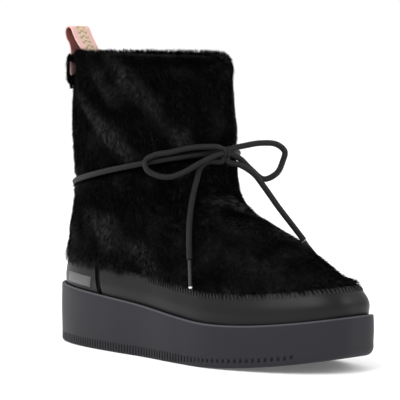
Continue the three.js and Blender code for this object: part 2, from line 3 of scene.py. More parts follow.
import bpy
import numpy as np
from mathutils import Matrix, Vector


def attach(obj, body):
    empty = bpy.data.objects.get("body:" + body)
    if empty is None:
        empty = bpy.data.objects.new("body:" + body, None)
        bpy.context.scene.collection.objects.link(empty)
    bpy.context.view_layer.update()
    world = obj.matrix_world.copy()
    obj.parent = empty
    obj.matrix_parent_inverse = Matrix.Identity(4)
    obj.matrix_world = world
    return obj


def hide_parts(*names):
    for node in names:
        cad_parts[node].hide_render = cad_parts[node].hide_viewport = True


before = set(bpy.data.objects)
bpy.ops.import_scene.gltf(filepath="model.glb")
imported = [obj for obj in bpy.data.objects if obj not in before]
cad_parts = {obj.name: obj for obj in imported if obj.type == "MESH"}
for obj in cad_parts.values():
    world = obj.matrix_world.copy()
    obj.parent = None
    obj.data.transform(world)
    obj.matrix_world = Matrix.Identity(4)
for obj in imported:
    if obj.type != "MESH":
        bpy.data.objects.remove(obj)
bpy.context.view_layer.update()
print("boot: frame loaded")

mm = 0.001
fullTurn = 2 * math.pi
turnStep, levelStep = 0.03, 0.008  # steps over which slopes are read

# The camera stands where the photograph's did and looks at one boot
view = {
    "eye": (1.2027, -1.1439, 0.2129),  # metres in the part's frame
    "aim": (0.0935, -0.004, 0.1095),
    "lens": 204,
    "sensor": 36,
    "far": 30,
}


# The turn that points a camera or a lamp from its place to what it looks at
def turnedTo(place, aim):
    return (Vector(aim) - Vector(place)).to_track_quat("-Z", "Y").to_euler()


def addCamera():
    data = bpy.data.cameras.new("camera")
    data.lens = view["lens"]
    data.sensor_width = view["sensor"]
    data.clip_end = view["far"]
    camera = bpy.data.objects.new("camera", data)
    camera.location = view["eye"]
    camera.rotation_euler = turnedTo(view["eye"], view["aim"])
    bpy.context.collection.objects.link(camera)
    bpy.context.scene.camera = camera
    bpy.context.scene.view_settings.view_transform = "Standard"


addCamera()

# Sizes of the boot in millimetres, as the part has them. X runs from the heel's back to the toe,
# Y to the inner side and Z up from the floor
boot = {
    "soleLength": 280,
    "ballWidth": 97,
    "toeSpring": 11.6,
    "springStart": 0.6,
    "lipWidth": 2.7,
    "lipDepth": 3,
    "upperHeight": 173,
    "wall": 6.5,
    "clearance": 0.3,
    "heelSpot": 44,
    "endBluntness": 0.6,
    "toeTurn": 0.02,
    "notchTurn": 0.5,
    "notchSpread": 0.34,
    "tieLevel": 0.76,
    "tieGroove": 3.2,
    "randLevel": 0.262,
    "randThickness": 1.6,
    "randSunk": 0.5,
    "furOverhang": 1.2,
    "seamAt": 64,
    "cordDiameter": 4.2,
}


def table(columns, rows):
    return dict(zip(columns.split(), np.array(rows, float).T))


soleWidths = table("at lateral medial", [
    (0, 0.324, 0.324), (0.12, 0.389, 0.384), (0.28, 0.416, 0.373), (0.42, 0.438, 0.362), (0.56, 0.508, 0.4),
    (0.68, 0.562, 0.476), (0.8, 0.541, 0.514), (0.9, 0.487, 0.497), (1, 0.432, 0.454),
])
soleHeights = table("at height", [(0, 44), (0.35, 38), (0.68, 29.9), (1, 27.3)])
upperLines = table("level backX backRise frontX frontRise half inset foot heel toe sag dip", [
    (0, 0.0107, 0, 0.9882, 0, 0.44, 0.031, 1, 0.6, 0.6, 1, 0),
    (0.1, 0.0118, 0.05, 0.991, 0.057, 0.44, 0.022, 1, 0.61, 0.61, 1, 0),
    (0.2, 0.0143, 0.102, 0.9768, 0.106, 0.44, 0.036, 1, 0.64, 0.64, 1, 0),
    (0.27, 0.0175, 0.134, 0.9571, 0.138, 0.44, 0.047, 1, 0.67, 0.67, 1, 0),
    (0.34, 0.0107, 0.175, 0.9179, 0.172, 0.45, 0.05, 0.95, 0.72, 0.74, 0.9, 0),
    (0.42, 0.0143, 0.229, 0.8714, 0.222, 0.455, 0.06, 0.8, 0.78, 0.82, 0.7, 0),
    (0.5, 0.025, 0.287, 0.8036, 0.28, 0.46, 0.07, 0.6, 0.84, 0.95, 0.4, 0),
    (0.56, 0.0357, 0.339, 0.72, 0.337, 0.46, 0.07, 0.45, 0.9, 1.15, 0.2, 0),
    (0.61, 0.0446, 0.38, 0.6429, 0.389, 0.455, 0.07, 0.3, 0.95, 1.3, 0.1, 0),
    (0.66, 0.0518, 0.403, 0.6, 0.453, 0.452, 0.07, 0.15, 1, 1.25, 0, 0),
    (0.71, 0.0571, 0.42, 0.5768, 0.542, 0.45, 0.07, 0, 1, 1.1, 0, 0),
    (0.76, 0.0625, 0.437, 0.5714, 0.623, 0.4505, 0.07, 0, 1, 1, 0, 0),
    (0.8, 0.0625, 0.5, 0.5732, 0.687, 0.468, 0.07, 0, 1, 1, 0, 0),
    (0.87, 0.0679, 0.657, 0.556, 0.808, 0.51, 0.07, 0, 1, 1, 0, 0.006),
    (0.94, 0.0821, 0.842, 0.5385, 0.925, 0.555, 0.07, 0, 1, 1, 0, 0.03),
    (1, 0.0929, 1.003, 0.523, 1.016, 0.568, 0.07, 0, 1, 1, 0, 0.05),
])


def mix(a, b, share):
    return a + (b - a) * share


def ease(at, low, high):
    share = np.clip((at - low) / (high - low), 0, 1)
    return share * share * (3 - 2 * share)


# One between the inner two of four marks, nothing outside the outer two, and eased on the way
def between(at, marks):
    return ease(at, marks[0], marks[1]) * (1 - ease(at, marks[2], marks[3]))


def unit(vectors, least=0.0):
    return vectors / np.maximum(np.linalg.norm(vectors, axis=-1, keepdims=True), least)


def turnsRound(count):
    return np.linspace(0, fullTurn, count, endpoint=False)


# The way gone along a line of points, each step divided by how far apart things stand there
def wayAlong(points, apart=1):
    return np.concatenate([[0], np.cumsum(np.linalg.norm(np.diff(points, axis=0), axis=1) / apart)])


# The line halfway between an outline's two sides, on which the rows of a flat end
def midline(edge, mirrored):
    return np.stack([edge[:, 0], (edge[:, 1] + mirrored[:, 1]) / 2], 1)


# A smooth curve through a column: in each span the straight rise plus two bends that meet its slopes
def curveThrough(rows, key, column, at):
    keys, values = rows[key], rows[column]
    order = np.arange(len(keys))
    before, after = np.maximum(order - 1, 0), np.minimum(order + 1, order[-1])
    slopes = (values[after] - values[before]) / (keys[after] - keys[before])
    here = np.clip(at, keys[0], keys[-1])
    i = np.clip(np.searchsorted(keys, here, side="right") - 1, 0, len(keys) - 2)
    span = keys[i + 1] - keys[i]
    s = (here - keys[i]) / span
    rise = values[i + 1] - values[i]
    bends = (slopes[i] * span - rise) * (1 - s) + (rise - slopes[i + 1] * span) * s
    return values[i] + s * rise + s * (1 - s) * bends


# From the boot's millimetres to the part's frame
def placed(points):
    return (np.asarray(points, float) - (boot["heelSpot"], 0, 0)) * mm


def treadHeight(x):
    start = boot["springStart"]
    return boot["toeSpring"] * np.clip((x / boot["soleLength"] - start) / (1 - start), 0, 1.05) ** 2


def lipHeight(x):
    return treadHeight(x) + curveThrough(soleHeights, "at", "height", x / boot["soleLength"])


def seatHeight(x):
    return lipHeight(x) - boot["lipDepth"]


# A turn runs from the heel's back round the outer side to the toe and back along the inner side
def side(turn):
    return np.where(np.sin(turn) >= 0, -1.0, 1.0)


def footHalfWidth(x, turn):
    share = x / boot["soleLength"]
    outer = curveThrough(soleWidths, "at", "lateral", share)
    inner = curveThrough(soleWidths, "at", "medial", share)
    return boot["ballWidth"] * np.where(side(turn) < 0, outer, inner)


def toeShift(x):
    return boot["toeTurn"] * boot["ballWidth"] * np.maximum((x / boot["soleLength"] - 0.5) / 0.5, 0) ** 2


# The sole's outline: X by the cosine of the turn, Y the half width times a power of its sine
def solePlan(turn, inset=0.0):
    def at(t):
        x = boot["soleLength"] * (1 - np.cos(t)) / 2
        y = side(t) * footHalfWidth(x, t) * np.abs(np.sin(t)) ** boot["endBluntness"] + toeShift(x)
        return np.stack([x, y], -1)

    along = unit(at(turn + turnStep) - at(turn - turnStep))
    inward = np.stack([-along[..., 1], along[..., 0]], -1)
    return at(turn) + inward * np.asarray(inset)[..., None]


# The upper without its pile: an oval or foot-shaped line at each level, raised from the sole's seat
def skinOn(level, turn):
    line = {name: curveThrough(upperLines, "level", name, level) for name in upperLines if name != "level"}
    along = (1 - np.cos(turn)) / 2
    x = boot["soleLength"] * mix(line["backX"], line["frontX"], along)
    foot = footHalfWidth(x, turn) - boot["ballWidth"] * line["inset"]
    half = mix(boot["ballWidth"] * line["half"], foot, line["foot"])
    close = np.abs(np.sin(turn)) ** mix(line["heel"], line["toe"], along)
    y = side(turn) * half * close + toeShift(x) * line["foot"]
    straight = mix(seatHeight(np.array(0.0)), seatHeight(np.array(float(boot["soleLength"]))), along)
    floor = mix(straight, seatHeight(x), line["sag"]) + boot["clearance"]
    away = np.angle(np.exp(1j * (turn - math.pi - boot["notchTurn"])))
    notch = line["dip"] * np.exp(-((away / boot["notchSpread"]) ** 2))
    z = floor + boot["upperHeight"] * (mix(line["backRise"], line["frontRise"], along) - notch)
    return np.stack([x, y, z], -1)


# A point that stands out from the upper's skin along its normal
def upperPoint(turn, level, out=0.0):
    turn, level, out = np.broadcast_arrays(np.asarray(turn, float), np.asarray(level, float), out)
    around = skinOn(level, turn + turnStep) - skinOn(level, turn - turnStep)
    up = skinOn(np.minimum(level + levelStep, 1), turn) - skinOn(np.maximum(level - levelStep, 0), turn)
    return skinOn(level, turn) + unit(np.cross(around, up)) * out[..., None]


# The turn at which the upper's line at a level reaches a distance from the heel's back
def turnAtX(level, x):
    back, front = (curveThrough(upperLines, "level", name, np.array(level)) for name in ("backX", "frontX"))
    along = np.clip((x / boot["soleLength"] - back) / (front - back), 0, 1)
    return float(np.arccos(1 - 2 * along))


# Smooth noise: a sum of sines that run in seeded directions, with a spread of one
def ripple(points, size, seed, count):
    draws = np.random.default_rng(seed)
    ways = draws.normal(size=(count, 3))
    ways *= (fullTurn / size * draws.uniform(0.6, 1.5, count) / np.linalg.norm(ways, axis=1))[:, None]
    return np.sin(points @ ways.T + draws.uniform(0, fullTurn, count)).sum(-1) / math.sqrt(count / 2)


# Puts points in the boot's millimetres and a list of face arrays into a mesh object
def meshPiece(name, points, faces, material, attributes=None, uv=None):
    mesh = bpy.data.meshes.new(name)
    points = np.asarray(placed(points), np.float32).reshape(-1, 3)
    loops = np.concatenate([f.ravel() for f in faces]).astype(np.int32)
    sizes = np.concatenate([np.full(len(f), f.shape[1]) for f in faces])
    mesh.vertices.add(len(points))
    mesh.vertices.foreach_set("co", points.ravel())
    mesh.loops.add(len(loops))
    mesh.loops.foreach_set("vertex_index", loops)
    mesh.polygons.add(len(sizes))
    mesh.polygons.foreach_set("loop_start", (np.cumsum(sizes) - sizes).astype(np.int32))
    for label, values in (attributes or {}).items():
        layer = mesh.attributes.new(label, "FLOAT", "POINT")
        layer.data.foreach_set("value", np.asarray(values, np.float32).ravel())
    if uv is not None:
        layer = mesh.uv_layers.new(name="UVMap")
        layer.data.foreach_set("uv", np.asarray(uv, np.float32).reshape(-1, 2)[loops].ravel())
    mesh.update(calc_edges=True)
    mesh.shade_smooth()
    mesh.materials.append(material)
    piece = bpy.data.objects.new(name, mesh)
    bpy.context.collection.objects.link(piece)
    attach(piece, "root")
    return piece


# Four-cornered faces of a grid of points, joined round in either direction where asked
def gridFaces(rows, columns, joinRows=False, joinColumns=False, start=0, flip=False):
    r, c = np.meshgrid(np.arange(rows if joinRows else rows - 1),
                       np.arange(columns if joinColumns else columns - 1), indexing="ij")
    r2, c2 = (r + 1) % rows, (c + 1) % columns
    corners = [r * columns + c, r * columns + c2, r2 * columns + c2, r2 * columns + c]
    if flip:
        corners.reverse()
    return np.stack(corners, -1).reshape(-1, 4) + start


# Triangles from a ring's first point that close the ring
def fan(ring, flip=False):
    faces = np.stack([np.full(len(ring) - 2, ring[0]), ring[1:-1], ring[2:]], 1)
    return faces[:, ::-1] if flip else faces


print("boot: shape functions ready")


# Shader helpers
def feed(tree, socket, value):
    if isinstance(value, bpy.types.NodeSocket):
        tree.links.new(value, socket)
    else:
        socket.default_value = value


# An input is named by its label, with _ for a space, or by its place as at0, at1 and so on
def addNode(tree, kind, settings=None, **inputs):
    made = tree.nodes.new("ShaderNode" + kind)
    for key, value in (settings or {}).items():
        setattr(made, key, value)
    for key, value in inputs.items():
        feed(tree, made.inputs[int(key[2:]) if key.startswith("at") else key.replace("_", " ")], value)
    return made


def mathNode(tree, operation, *values):
    made = addNode(tree, "Math", {"operation": operation})
    for socket, value in zip(made.inputs, values):
        feed(tree, socket, value)
    return made.outputs[0]


# Mixes two colours, each a socket or three numbers
def blend(tree, share, low, high):
    low, high = (c if isinstance(c, bpy.types.NodeSocket) else (*c, 1) for c in (low, high))
    return addNode(tree, "Mix", {"data_type": "RGBA"}, at0=share, at6=low, at7=high).outputs[2]


def readAttribute(tree, label):
    return addNode(tree, "Attribute", {"attribute_name": label}).outputs["Fac"]


def readUv(tree):
    return addNode(tree, "UVMap", {"uv_map": "UVMap"}).outputs["UV"]


def objectPlace(tree):
    return addNode(tree, "TexCoord").outputs["Object"]


def newGroup(name, inputs, outputs):
    group = bpy.data.node_groups.new(name, "ShaderNodeTree")
    for label, kind, value in inputs:
        socket = group.interface.new_socket(label, in_out="INPUT", socket_type="NodeSocket" + kind)
        if value is not None:
            socket.default_value = value
    for label, kind in outputs:
        group.interface.new_socket(label, in_out="OUTPUT", socket_type="NodeSocket" + kind)
    return group, group.nodes.new("NodeGroupInput").outputs, group.nodes.new("NodeGroupOutput").inputs


def placeGroup(tree, group, **inputs):
    return addNode(tree, "Group", {"node_tree": group}, **inputs).outputs


# Grain: fine pores and a slow unevenness of a moulded or finished surface
def makeGrain():
    group, given, put = newGroup(
        "surfaceGrain",
        [("Vector", "Vector", None), ("Pore Scale", "Float", 900.0), ("Cloud Scale", "Float", 40.0),
         ("Cloud Share", "Float", 0.3)],
        [("Height", "Float"), ("Clouds", "Float")],
    )
    pores = addNode(group, "TexVoronoi", {"feature": "F1"}, Vector=given["Vector"], Scale=given["Pore Scale"])
    clouds = addNode(group, "TexNoise", None, Vector=given["Vector"], Scale=given["Cloud Scale"], Detail=4.0)
    height = addNode(group, "Mix", {"data_type": "FLOAT"}, at0=given["Cloud Share"],
                     at2=pores.outputs["Distance"], at3=clouds.outputs["Fac"])
    group.links.new(height.outputs[0], put["Height"])
    group.links.new(clouds.outputs["Fac"], put["Clouds"])
    return group


# Fibre tint: dark roots, which are painted shade, lighter tips, and a gain from fibre to fibre that carries chance
# variation and, on the fur, painted sheen
def makeFibreTint():
    group, given, put = newGroup(
        "fibreTint",
        [("Along", "Float", 0.5), ("Chance", "Float", 0.5), ("Root", "Color", (0, 0, 0, 1)),
         ("Tip", "Color", (0.02, 0.02, 0.02, 1)), ("Spread", "Float", 0.5)],
        [("Color", "Color")],
    )
    # painted shade at the roots: the colour runs from the dark root colour to the tip colour along the fibre
    shade = blend(group, given["Along"], given["Root"], given["Tip"])
    # the gain lightens or darkens each fibre: chance tone, and on the fur painted sheen as well
    centred = mathNode(group, "SUBTRACT", given["Chance"], 0.5)
    gain = mathNode(group, "MULTIPLY_ADD", centred, given["Spread"], 1.0)
    tinted = addNode(group, "VectorMath", {"operation": "SCALE"}, Vector=shade, Scale=gain)
    group.links.new(tinted.outputs[0], put["Color"])
    return group


# Yarn: two sets of ridges that cross on a UV map, as strands do in a braid or a woven band
def makeYarn():
    group, given, put = newGroup(
        "yarnRidges",
        [("UV", "Vector", None), ("Around", "Float", 8.0), ("Along", "Float", 400.0)],
        [("Height", "Float")],
    )
    parts = addNode(group, "SeparateXYZ", None, at0=given["UV"])
    u = mathNode(group, "MULTIPLY", parts.outputs[0], given["Around"])
    v = mathNode(group, "MULTIPLY", parts.outputs[1], given["Along"])
    ridges = [mathNode(group, "SINE", mathNode(group, "MULTIPLY", mathNode(group, way, u, v), fullTurn))
              for way in ("ADD", "SUBTRACT")]
    group.links.new(mathNode(group, "MAXIMUM", *ridges), put["Height"])
    return group


grainGroup, tintGroup, yarnGroup = makeGrain(), makeFibreTint(), makeYarn()


def newMaterial(name, finish):
    material = bpy.data.materials.new(name)
    material.use_nodes = True
    shader = material.node_tree.nodes["Principled BSDF"]
    shader.inputs["Base Color"].default_value = (*finish.get("color", (0.5, 0.5, 0.5)), 1)
    shader.inputs["Roughness"].default_value = finish["roughness"]
    shader.inputs["Specular IOR Level"].default_value = finish["specular"]
    return material, material.node_tree, shader


def bump(tree, shader, height, relief):
    made = addNode(tree, "Bump", None, Height=height, Distance=relief * mm, Strength=1.0)
    tree.links.new(made.outputs[0], shader.inputs["Normal"])


def fibreMaterial(name, finish):
    material, tree, shader = newMaterial(name, finish)
    tint = placeGroup(tree, tintGroup, Along=readAttribute(tree, "along"), Chance=readAttribute(tree, "toneAndSheen"),
                      Root=(*finish["root"], 1), Tip=(*finish["tip"], 1), Spread=finish["spread"])
    tree.links.new(tint["Color"], shader.inputs["Base Color"])
    return material


def grainMaterial(name, finish):
    material, tree, shader = newMaterial(name, finish)
    grain = placeGroup(tree, grainGroup, Vector=objectPlace(tree), Pore_Scale=finish["pores"],
                       Cloud_Scale=finish["clouds"], Cloud_Share=finish["share"])
    shown = blend(tree, grain["Clouds"], finish["dark"], finish["light"])
    if "hollow" in finish:  # painted shade: the cut notches are drawn darker than the wall round them
        cut = mathNode(tree, "MULTIPLY", readAttribute(tree, "hollow"), finish["hollow"])
        shown = blend(tree, cut, shown, (0, 0, 0))
    if "edge" in finish:  # painted highlight: the lip's edge is drawn lighter
        shown = blend(tree, readAttribute(tree, "edge"), shown, finish["edge"])
    tree.links.new(shown, shader.inputs["Base Color"])
    low, high = finish["gloss"]
    rough = addNode(tree, "MapRange", None, Value=grain["Clouds"], To_Min=low, To_Max=high)
    tree.links.new(rough.outputs[0], shader.inputs["Roughness"])
    bump(tree, shader, grain["Height"], finish["relief"])
    return material


def yarnMaterial(name, finish):
    material, tree, shader = newMaterial(name, finish)
    yarn = placeGroup(tree, yarnGroup, UV=readUv(tree), Around=finish["around"], Along=finish["along"])
    # painted shade in the grooves between strands and painted highlight on their crowns: the colour follows the
    # ridges' height
    lift = mathNode(tree, "MULTIPLY_ADD", yarn["Height"], 0.5, 0.5)
    tree.links.new(blend(tree, lift, finish["dark"], finish["light"]), shader.inputs["Base Color"])
    bump(tree, shader, yarn["Height"], finish["relief"])
    return material


print("boot: shader groups ready")

# Folds of the soft upper, placed one by one: from one turn and level to another, with the half width and
# the rise in millimetres, negative for a crease, and how much painted sheen lightens the ruffled pile there,
# negative for painted shade
folds = [
    (0.8, 0.988, 0.84, 0.958, 12, -6.0, -0.3),
    (1.82, 0.984, 2.0, 0.935, 5, 1.0, 1.3),
    (2.0, 0.945, 2.23, 0.862, 6, 1.3, 1.0),
    (1.5, 0.97, 1.75, 0.9, 6, 0.8, 0.9),
    (1.17, 0.928, 1.45, 0.88, 4, 1.2, 1.4),
    (1.43, 0.884, 1.78, 0.795, 5, 1.5, 1.9),
    (1.3, 0.95, 1.95, 0.83, 6, -1.4, -0.6),
    (2.1, 0.97, 2.5, 0.86, 9, -0.6, -0.5),
    (2.36, 0.836, 2.55, 0.786, 5, 0.8, 0.9),
    (0.62, 0.79, 1.1, 0.775, 5, 0.6, 0.7),
    (0.78, 0.645, 1.58, 0.622, 5, -1.3, -0.5),
    (1.58, 0.625, 2.2, 0.655, 5, -1.2, -0.5),
    (0.62, 0.7, 0.95, 0.69, 5, 0.9, 0.7),
    (1.0, 0.53, 1.28, 0.47, 9, 1.3, 1.8),
    (1.4, 0.43, 1.58, 0.35, 6, 0.8, 1.5),
    (0.45, 0.5, 0.7, 0.36, 7, 0.4, 0.8),
    (1.9, 0.5, 2.2, 0.42, 8, 0.5, 0.5),
    (2.57, 0.59, 2.68, 0.545, 6, 0.7, 0.9),
    (2.35, 0.45, 2.6, 0.36, 7, 0.4, 0.7),
    (2.9, 0.665, 3.0, 0.632, 2.6, 1.2, 1.2),
    (2.98, 0.634, 3.45, 0.612, 2.6, 1.5, 1.9),
    (2.62, 0.655, 2.95, 0.636, 2.4, 0.9, 1.0),
    (2.75, 0.62, 3.35, 0.6, 3.5, -1.6, -0.7),
    (2.9, 0.69, 3.4, 0.665, 5, -1.5, -0.6),
    (3.4, 0.57, 3.5, 0.46, 9, 0.6, 1.3),
    (3.3, 0.44, 3.45, 0.34, 8, 0.4, 0.9),
    (4.1, 0.96, 4.5, 0.88, 6, 1.1, 1.1),
    (4.5, 0.9, 4.95, 0.8, 6, 1.4, 1.5),
    (4.25, 0.93, 4.7, 0.83, 6, -1.2, -0.5),
    (5.4, 0.97, 5.75, 0.86, 7, 1.1, 1.0),
    (3.9, 0.65, 4.8, 0.62, 5, -1.3, -0.5),
    (4.8, 0.62, 5.6, 0.65, 5, -1.2, -0.5),
    (4.1, 0.5, 4.6, 0.44, 9, 1.0, 1.3),
    (4.9, 0.55, 5.2, 0.45, 9, 1.2, 1.4),
    (5.6, 0.45, 5.9, 0.38, 7, 0.5, 0.8),
    (5.95, 0.9, 6.5, 0.8, 6, 0.9, 0.8),
]
pile = {
    "depth": 2.5,  # how far the ground cloth lies under the tips
    "columns": 640,
    "rows": 330,
    "low": 0.268,
    "high": 0.993,
    "grooveWidth": 0.018,  # half width of the tie's groove, as a level
    "overhang": (0.262, 0.29, 0.3, 0.41),  # levels between which the pile swells over the rand
    "relief": (0.3, 0.4, 0.975, 1.0),  # levels between which the folds show
    "foldEnds": (0.15, 0.85),  # a fold fades to its ends as this part of a half sine does
    "sheenSpread": 1.35,  # the painted sheen reaches this much further from a fold's line than its rise does
    "hangLevels": (0.29, 0.36),  # below these the pile hangs longer over the counter and gets more painted sheen
    "hangBack": (0.1, 0.8),  # and more so where the turn's cosine passes these
}


# Rise and painted sheen of all folds at a point, the sheen negative for painted shade in a crease: each fades with
# the square of the distance from its line
def foldRise(turn, level):
    here = skinOn(level, turn)
    rise, sheen = np.zeros(here.shape[:-1]), np.zeros(here.shape[:-1])
    for fromTurn, fromLevel, toTurn, toLevel, width, height, light in folds:
        a = skinOn(np.array(fromLevel), np.array(float(fromTurn)))
        b = skinOn(np.array(toLevel), np.array(float(toTurn)))
        share = np.clip(((here - a) @ (b - a)) / ((b - a) @ (b - a)), 0, 1)
        gap = np.linalg.norm(here - a - share[..., None] * (b - a), axis=-1) / width
        along = np.sin(math.pi * mix(*pile["foldEnds"], share))
        rise += height * along * np.exp(-(gap**2))
        # painted sheen along the fold's line, and painted shade where the value is negative
        sheen += light * along * np.exp(-((gap / pile["sheenSpread"]) ** 2))
    return rise, sheen


# Flap: the front edge of the shaft that laps over. Turns are counted from the front's middle
flap = {
    "from": -1.05,
    "to": 0.24,
    "lean": 0.27,
    "low": 0.785,
    "high": 0.972,
    "corner": 0.05,
    "round": 0.3,
    "step": 3.6,
    "drop": (-0.006, 0.012, 0.08, 0.6),  # turns past the free edge where the step falls and runs out
    "fade": (0.015, 0.012),  # levels over which the step comes in below and goes out above
}


def flapEdge(level):
    short = np.clip((level - flap["high"] + flap["corner"]) / flap["corner"], 0, 1)
    share = np.clip((level - flap["low"]) / (flap["high"] - flap["low"]), 0, 1)
    return flap["to"] + flap["lean"] * share**2 - flap["round"] * (1 - np.sqrt(1 - short**2))


# The step beyond the flap's free edge: nothing before the edge, a full drop behind it that runs out
def flapStep(turn, level):
    past = np.mod(turn, fullTurn) - math.pi - flapEdge(level)
    below, above = flap["fade"]
    levels = (flap["low"] - below, flap["low"], flap["high"], flap["high"] + above)
    return flap["step"] * between(past, flap["drop"]) * between(level, levels)


def furSurface(turn, level, out):
    groove = boot["tieGroove"] * np.exp(-(((level - boot["tieLevel"]) / pile["grooveWidth"]) ** 2))
    over = boot["furOverhang"] * between(level, pile["overhang"])
    relief = foldRise(turn, level)[0] * between(level, pile["relief"])
    return upperPoint(turn, level, out + over - groove - flapStep(turn, level) + relief)


# Levels that stand about evenly apart up the boot
def evenLevels(low, high, count):
    fine = np.linspace(low, high, 800)
    rise = sum(curveThrough(upperLines, "level", name, fine) for name in ("backRise", "frontRise"))
    front = curveThrough(upperLines, "level", "frontX", fine)
    run = rise * boot["upperHeight"] / 2 + np.abs(front[0] - front) * boot["soleLength"] / 3
    return np.interp(np.linspace(run[0], run[-1], count), run, fine)


# Shell: the ground cloth under the pile and the lining's side in one closed wall
shell = {
    "columns": 200,
    "rows": (84, 6, 44),  # outside, over the collar's rim and down the inside
    "play": 0.6,  # how far the shell keeps behind the rand
    "hidden": (0.02, 0.1, 0.18, 0.25, 0.262),  # levels of the rows behind the rand
    "inside": (0.02, 0.985),
}
groundFinish = {
    "roughness": 0.9, "specular": 0.1, "pores": 1200, "clouds": 60, "share": 0.5,
    "dark": (0.004, 0.004, 0.0045), "light": (0.01, 0.01, 0.011), "gloss": (0.8, 0.95), "relief": 0.6,
}
groundCloth = grainMaterial("groundCloth", groundFinish)


# Rows round the whole shell, each a level, a step out from the skin and a lift: up under the rand and
# the pile, over the collar, down the lining
def shellRows(outerCount, rimCount, innerCount):
    under = boot["randThickness"] + boot["randSunk"] + shell["play"]
    half = (boot["wall"] - pile["depth"]) / 2
    rows = [(level, -under, 0) for level in shell["hidden"]]
    rows += [(level, -pile["depth"], 0) for level in evenLevels(pile["low"], pile["high"], outerCount)]
    rows += [(pile["high"], -pile["depth"] - half * (1 - math.cos(a)), half * math.sin(a))
             for a in np.linspace(0, math.pi, rimCount + 2)[1:-1]]
    rows += [(level, -boot["wall"], 0) for level in evenLevels(*shell["inside"], innerCount)[::-1]]
    return np.array(rows)


def rowsToPoints(rows, turns):
    level, out, lift = (rows[:, i, None] + 0 * turns for i in range(3))
    points = furSurface(turns + 0 * level, level, out)
    points[..., 2] += lift
    return points


def buildShell():
    turns = turnsRound(shell["columns"])
    rows = shellRows(*shell["rows"])
    faces = gridFaces(len(rows), len(turns), joinRows=True, joinColumns=True)
    piece = meshPiece("upperShell", rowsToPoints(rows, turns), [faces], groundCloth)
    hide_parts("upper")


buildShell()
print("boot: upper's shell built")


# A field over part of the surface: points, normals, the way down, cell areas, painted sheen and hang
def surfaceField(turns, rows):
    points = rowsToPoints(rows, turns)
    up, around = np.gradient(points, axis=0), np.gradient(points, axis=1)
    across = np.cross(around, up)
    level = rows[:, :1]
    back = 0.4 + 0.6 * ease(np.cos(turns), *pile["hangBack"])
    return {"points": points, "normal": unit(across, 1e-9), "down": unit(-up, 1e-9),
            "area": np.linalg.norm(across, axis=-1), "sheen": foldRise(turns + 0 * level, level + 0 * turns)[1],
            "hang": (1 - ease(level, *pile["hangLevels"])) * back}


# Roots thrown on a field: cells are drawn by their area, then a place inside the cell
def throwRoots(field, weight, count, draws):
    area = (field["area"] * weight)[:-1, :-1]
    cells = draws.choice(area.size, size=count, p=(area / area.sum()).ravel())
    r, c = np.divmod(cells, area.shape[1])
    s, t = draws.random((2, count, 1))

    def at(key):
        values = field[key].reshape(*field["area"].shape, -1)
        low = mix(values[r, c], values[r, c + 1], t)
        high = mix(values[r + 1, c], values[r + 1, c + 1], t)
        return mix(low, high, s)

    normal, down = unit(at("normal")), at("down")
    down = unit(down - normal * (down * normal).sum(1, keepdims=True), 1e-9)
    return at("points"), normal, down, at("sheen")[:, 0], at("hang")[:, 0]


# Fur: lengths in millimetres, angles in radians
furFinish = {
    "roughness": 0.6, "specular": 0.015, "spread": 1.3,
    # the root colour is darker than the tip colour: painted shade at the roots
    "root": (0.0007, 0.0007, 0.0007), "tip": (0.0031, 0.003, 0.0031),
}
furFibre = fibreMaterial("furFibre", furFinish)
furLook = {
    "length": 4.8,
    "lengthWave": 0.07,
    "lengthChance": 0.13,
    "lengthLimits": (0.45, 1.35),
    "width": 0.32,
    "sunk": 0.4,
    "lean": 1.08,  # from the surface's normal
    "leanTuft": 0.03,
    "leanChance": 0.12,
    "leanRuffled": 0.16,  # how much straighter ruffled pile stands
    "leanLimits": (0.15, 1.45),
    "bend": 0.3,  # between the blade's halves and its lean
    "roll": 0.9,
    "swirl": 0.5,  # how far slow noise, tufts and chance turn the comb's way
    "tuft": 0.14,
    "stray": 0.26,
    "patch": 0.17,  # how far the ruffled patches, with their painted sheen, differ without a fold
    "calm": 0.1,
    "ruffleLimits": (-0.4, 3),
    "sheen": 4.2,  # how much lighter ruffled pile is drawn, as painted sheen
    # streak, lock and speckle break the painted sheen into strands and locks
    "streak": 0.7,
    "lock": 0.5,
    "speckle": 0.5,
    "streakLimits": (0.1, 3.2),
    "lightMost": 18,
    "hang": 1.1,  # how much longer the pile over the counter is; with hangSheen it is also drawn lighter as painted sheen
    "hangSheen": 0.9,
}
furWaves = {  # size in millimetres and number of sines of each noise
    "swirl": (46, 12), "tuft": (7, 12), "lean": (9, 12), "length": (12, 12),
    "patch": (24, 24), "streak": (2.2, 30), "lock": (5, 30),
}
furCover = {
    "perSquare": 2.6,  # blades to a square millimetre
    "most": 62000,  # blades in one piece
    "bare": (-0.01, 0.03),  # turns past the flap's edge between which nothing grows
    "rim": (-0.05, -0.01),  # turns before it over which the flap's rim comes in
    "rimSheen": 1.0,  # painted highlight: how much lighter the flap's rim is drawn
    "collar": 1.15,  # how much more thickly the collar is covered
    "collarRows": ((60, 12, 60), 62, 78),  # the shell's rows and the first and last that the collar takes
    "collarLook": {"length": 3.6, "lean": 0.75},
    "parts": {
        "furFootOuter": ("foot", 1),
        "furFootInner": ("foot", -1),
        "furShaftOuter": ("shaft", 1),
        "furShaftInner": ("shaft", -1),
    },
}


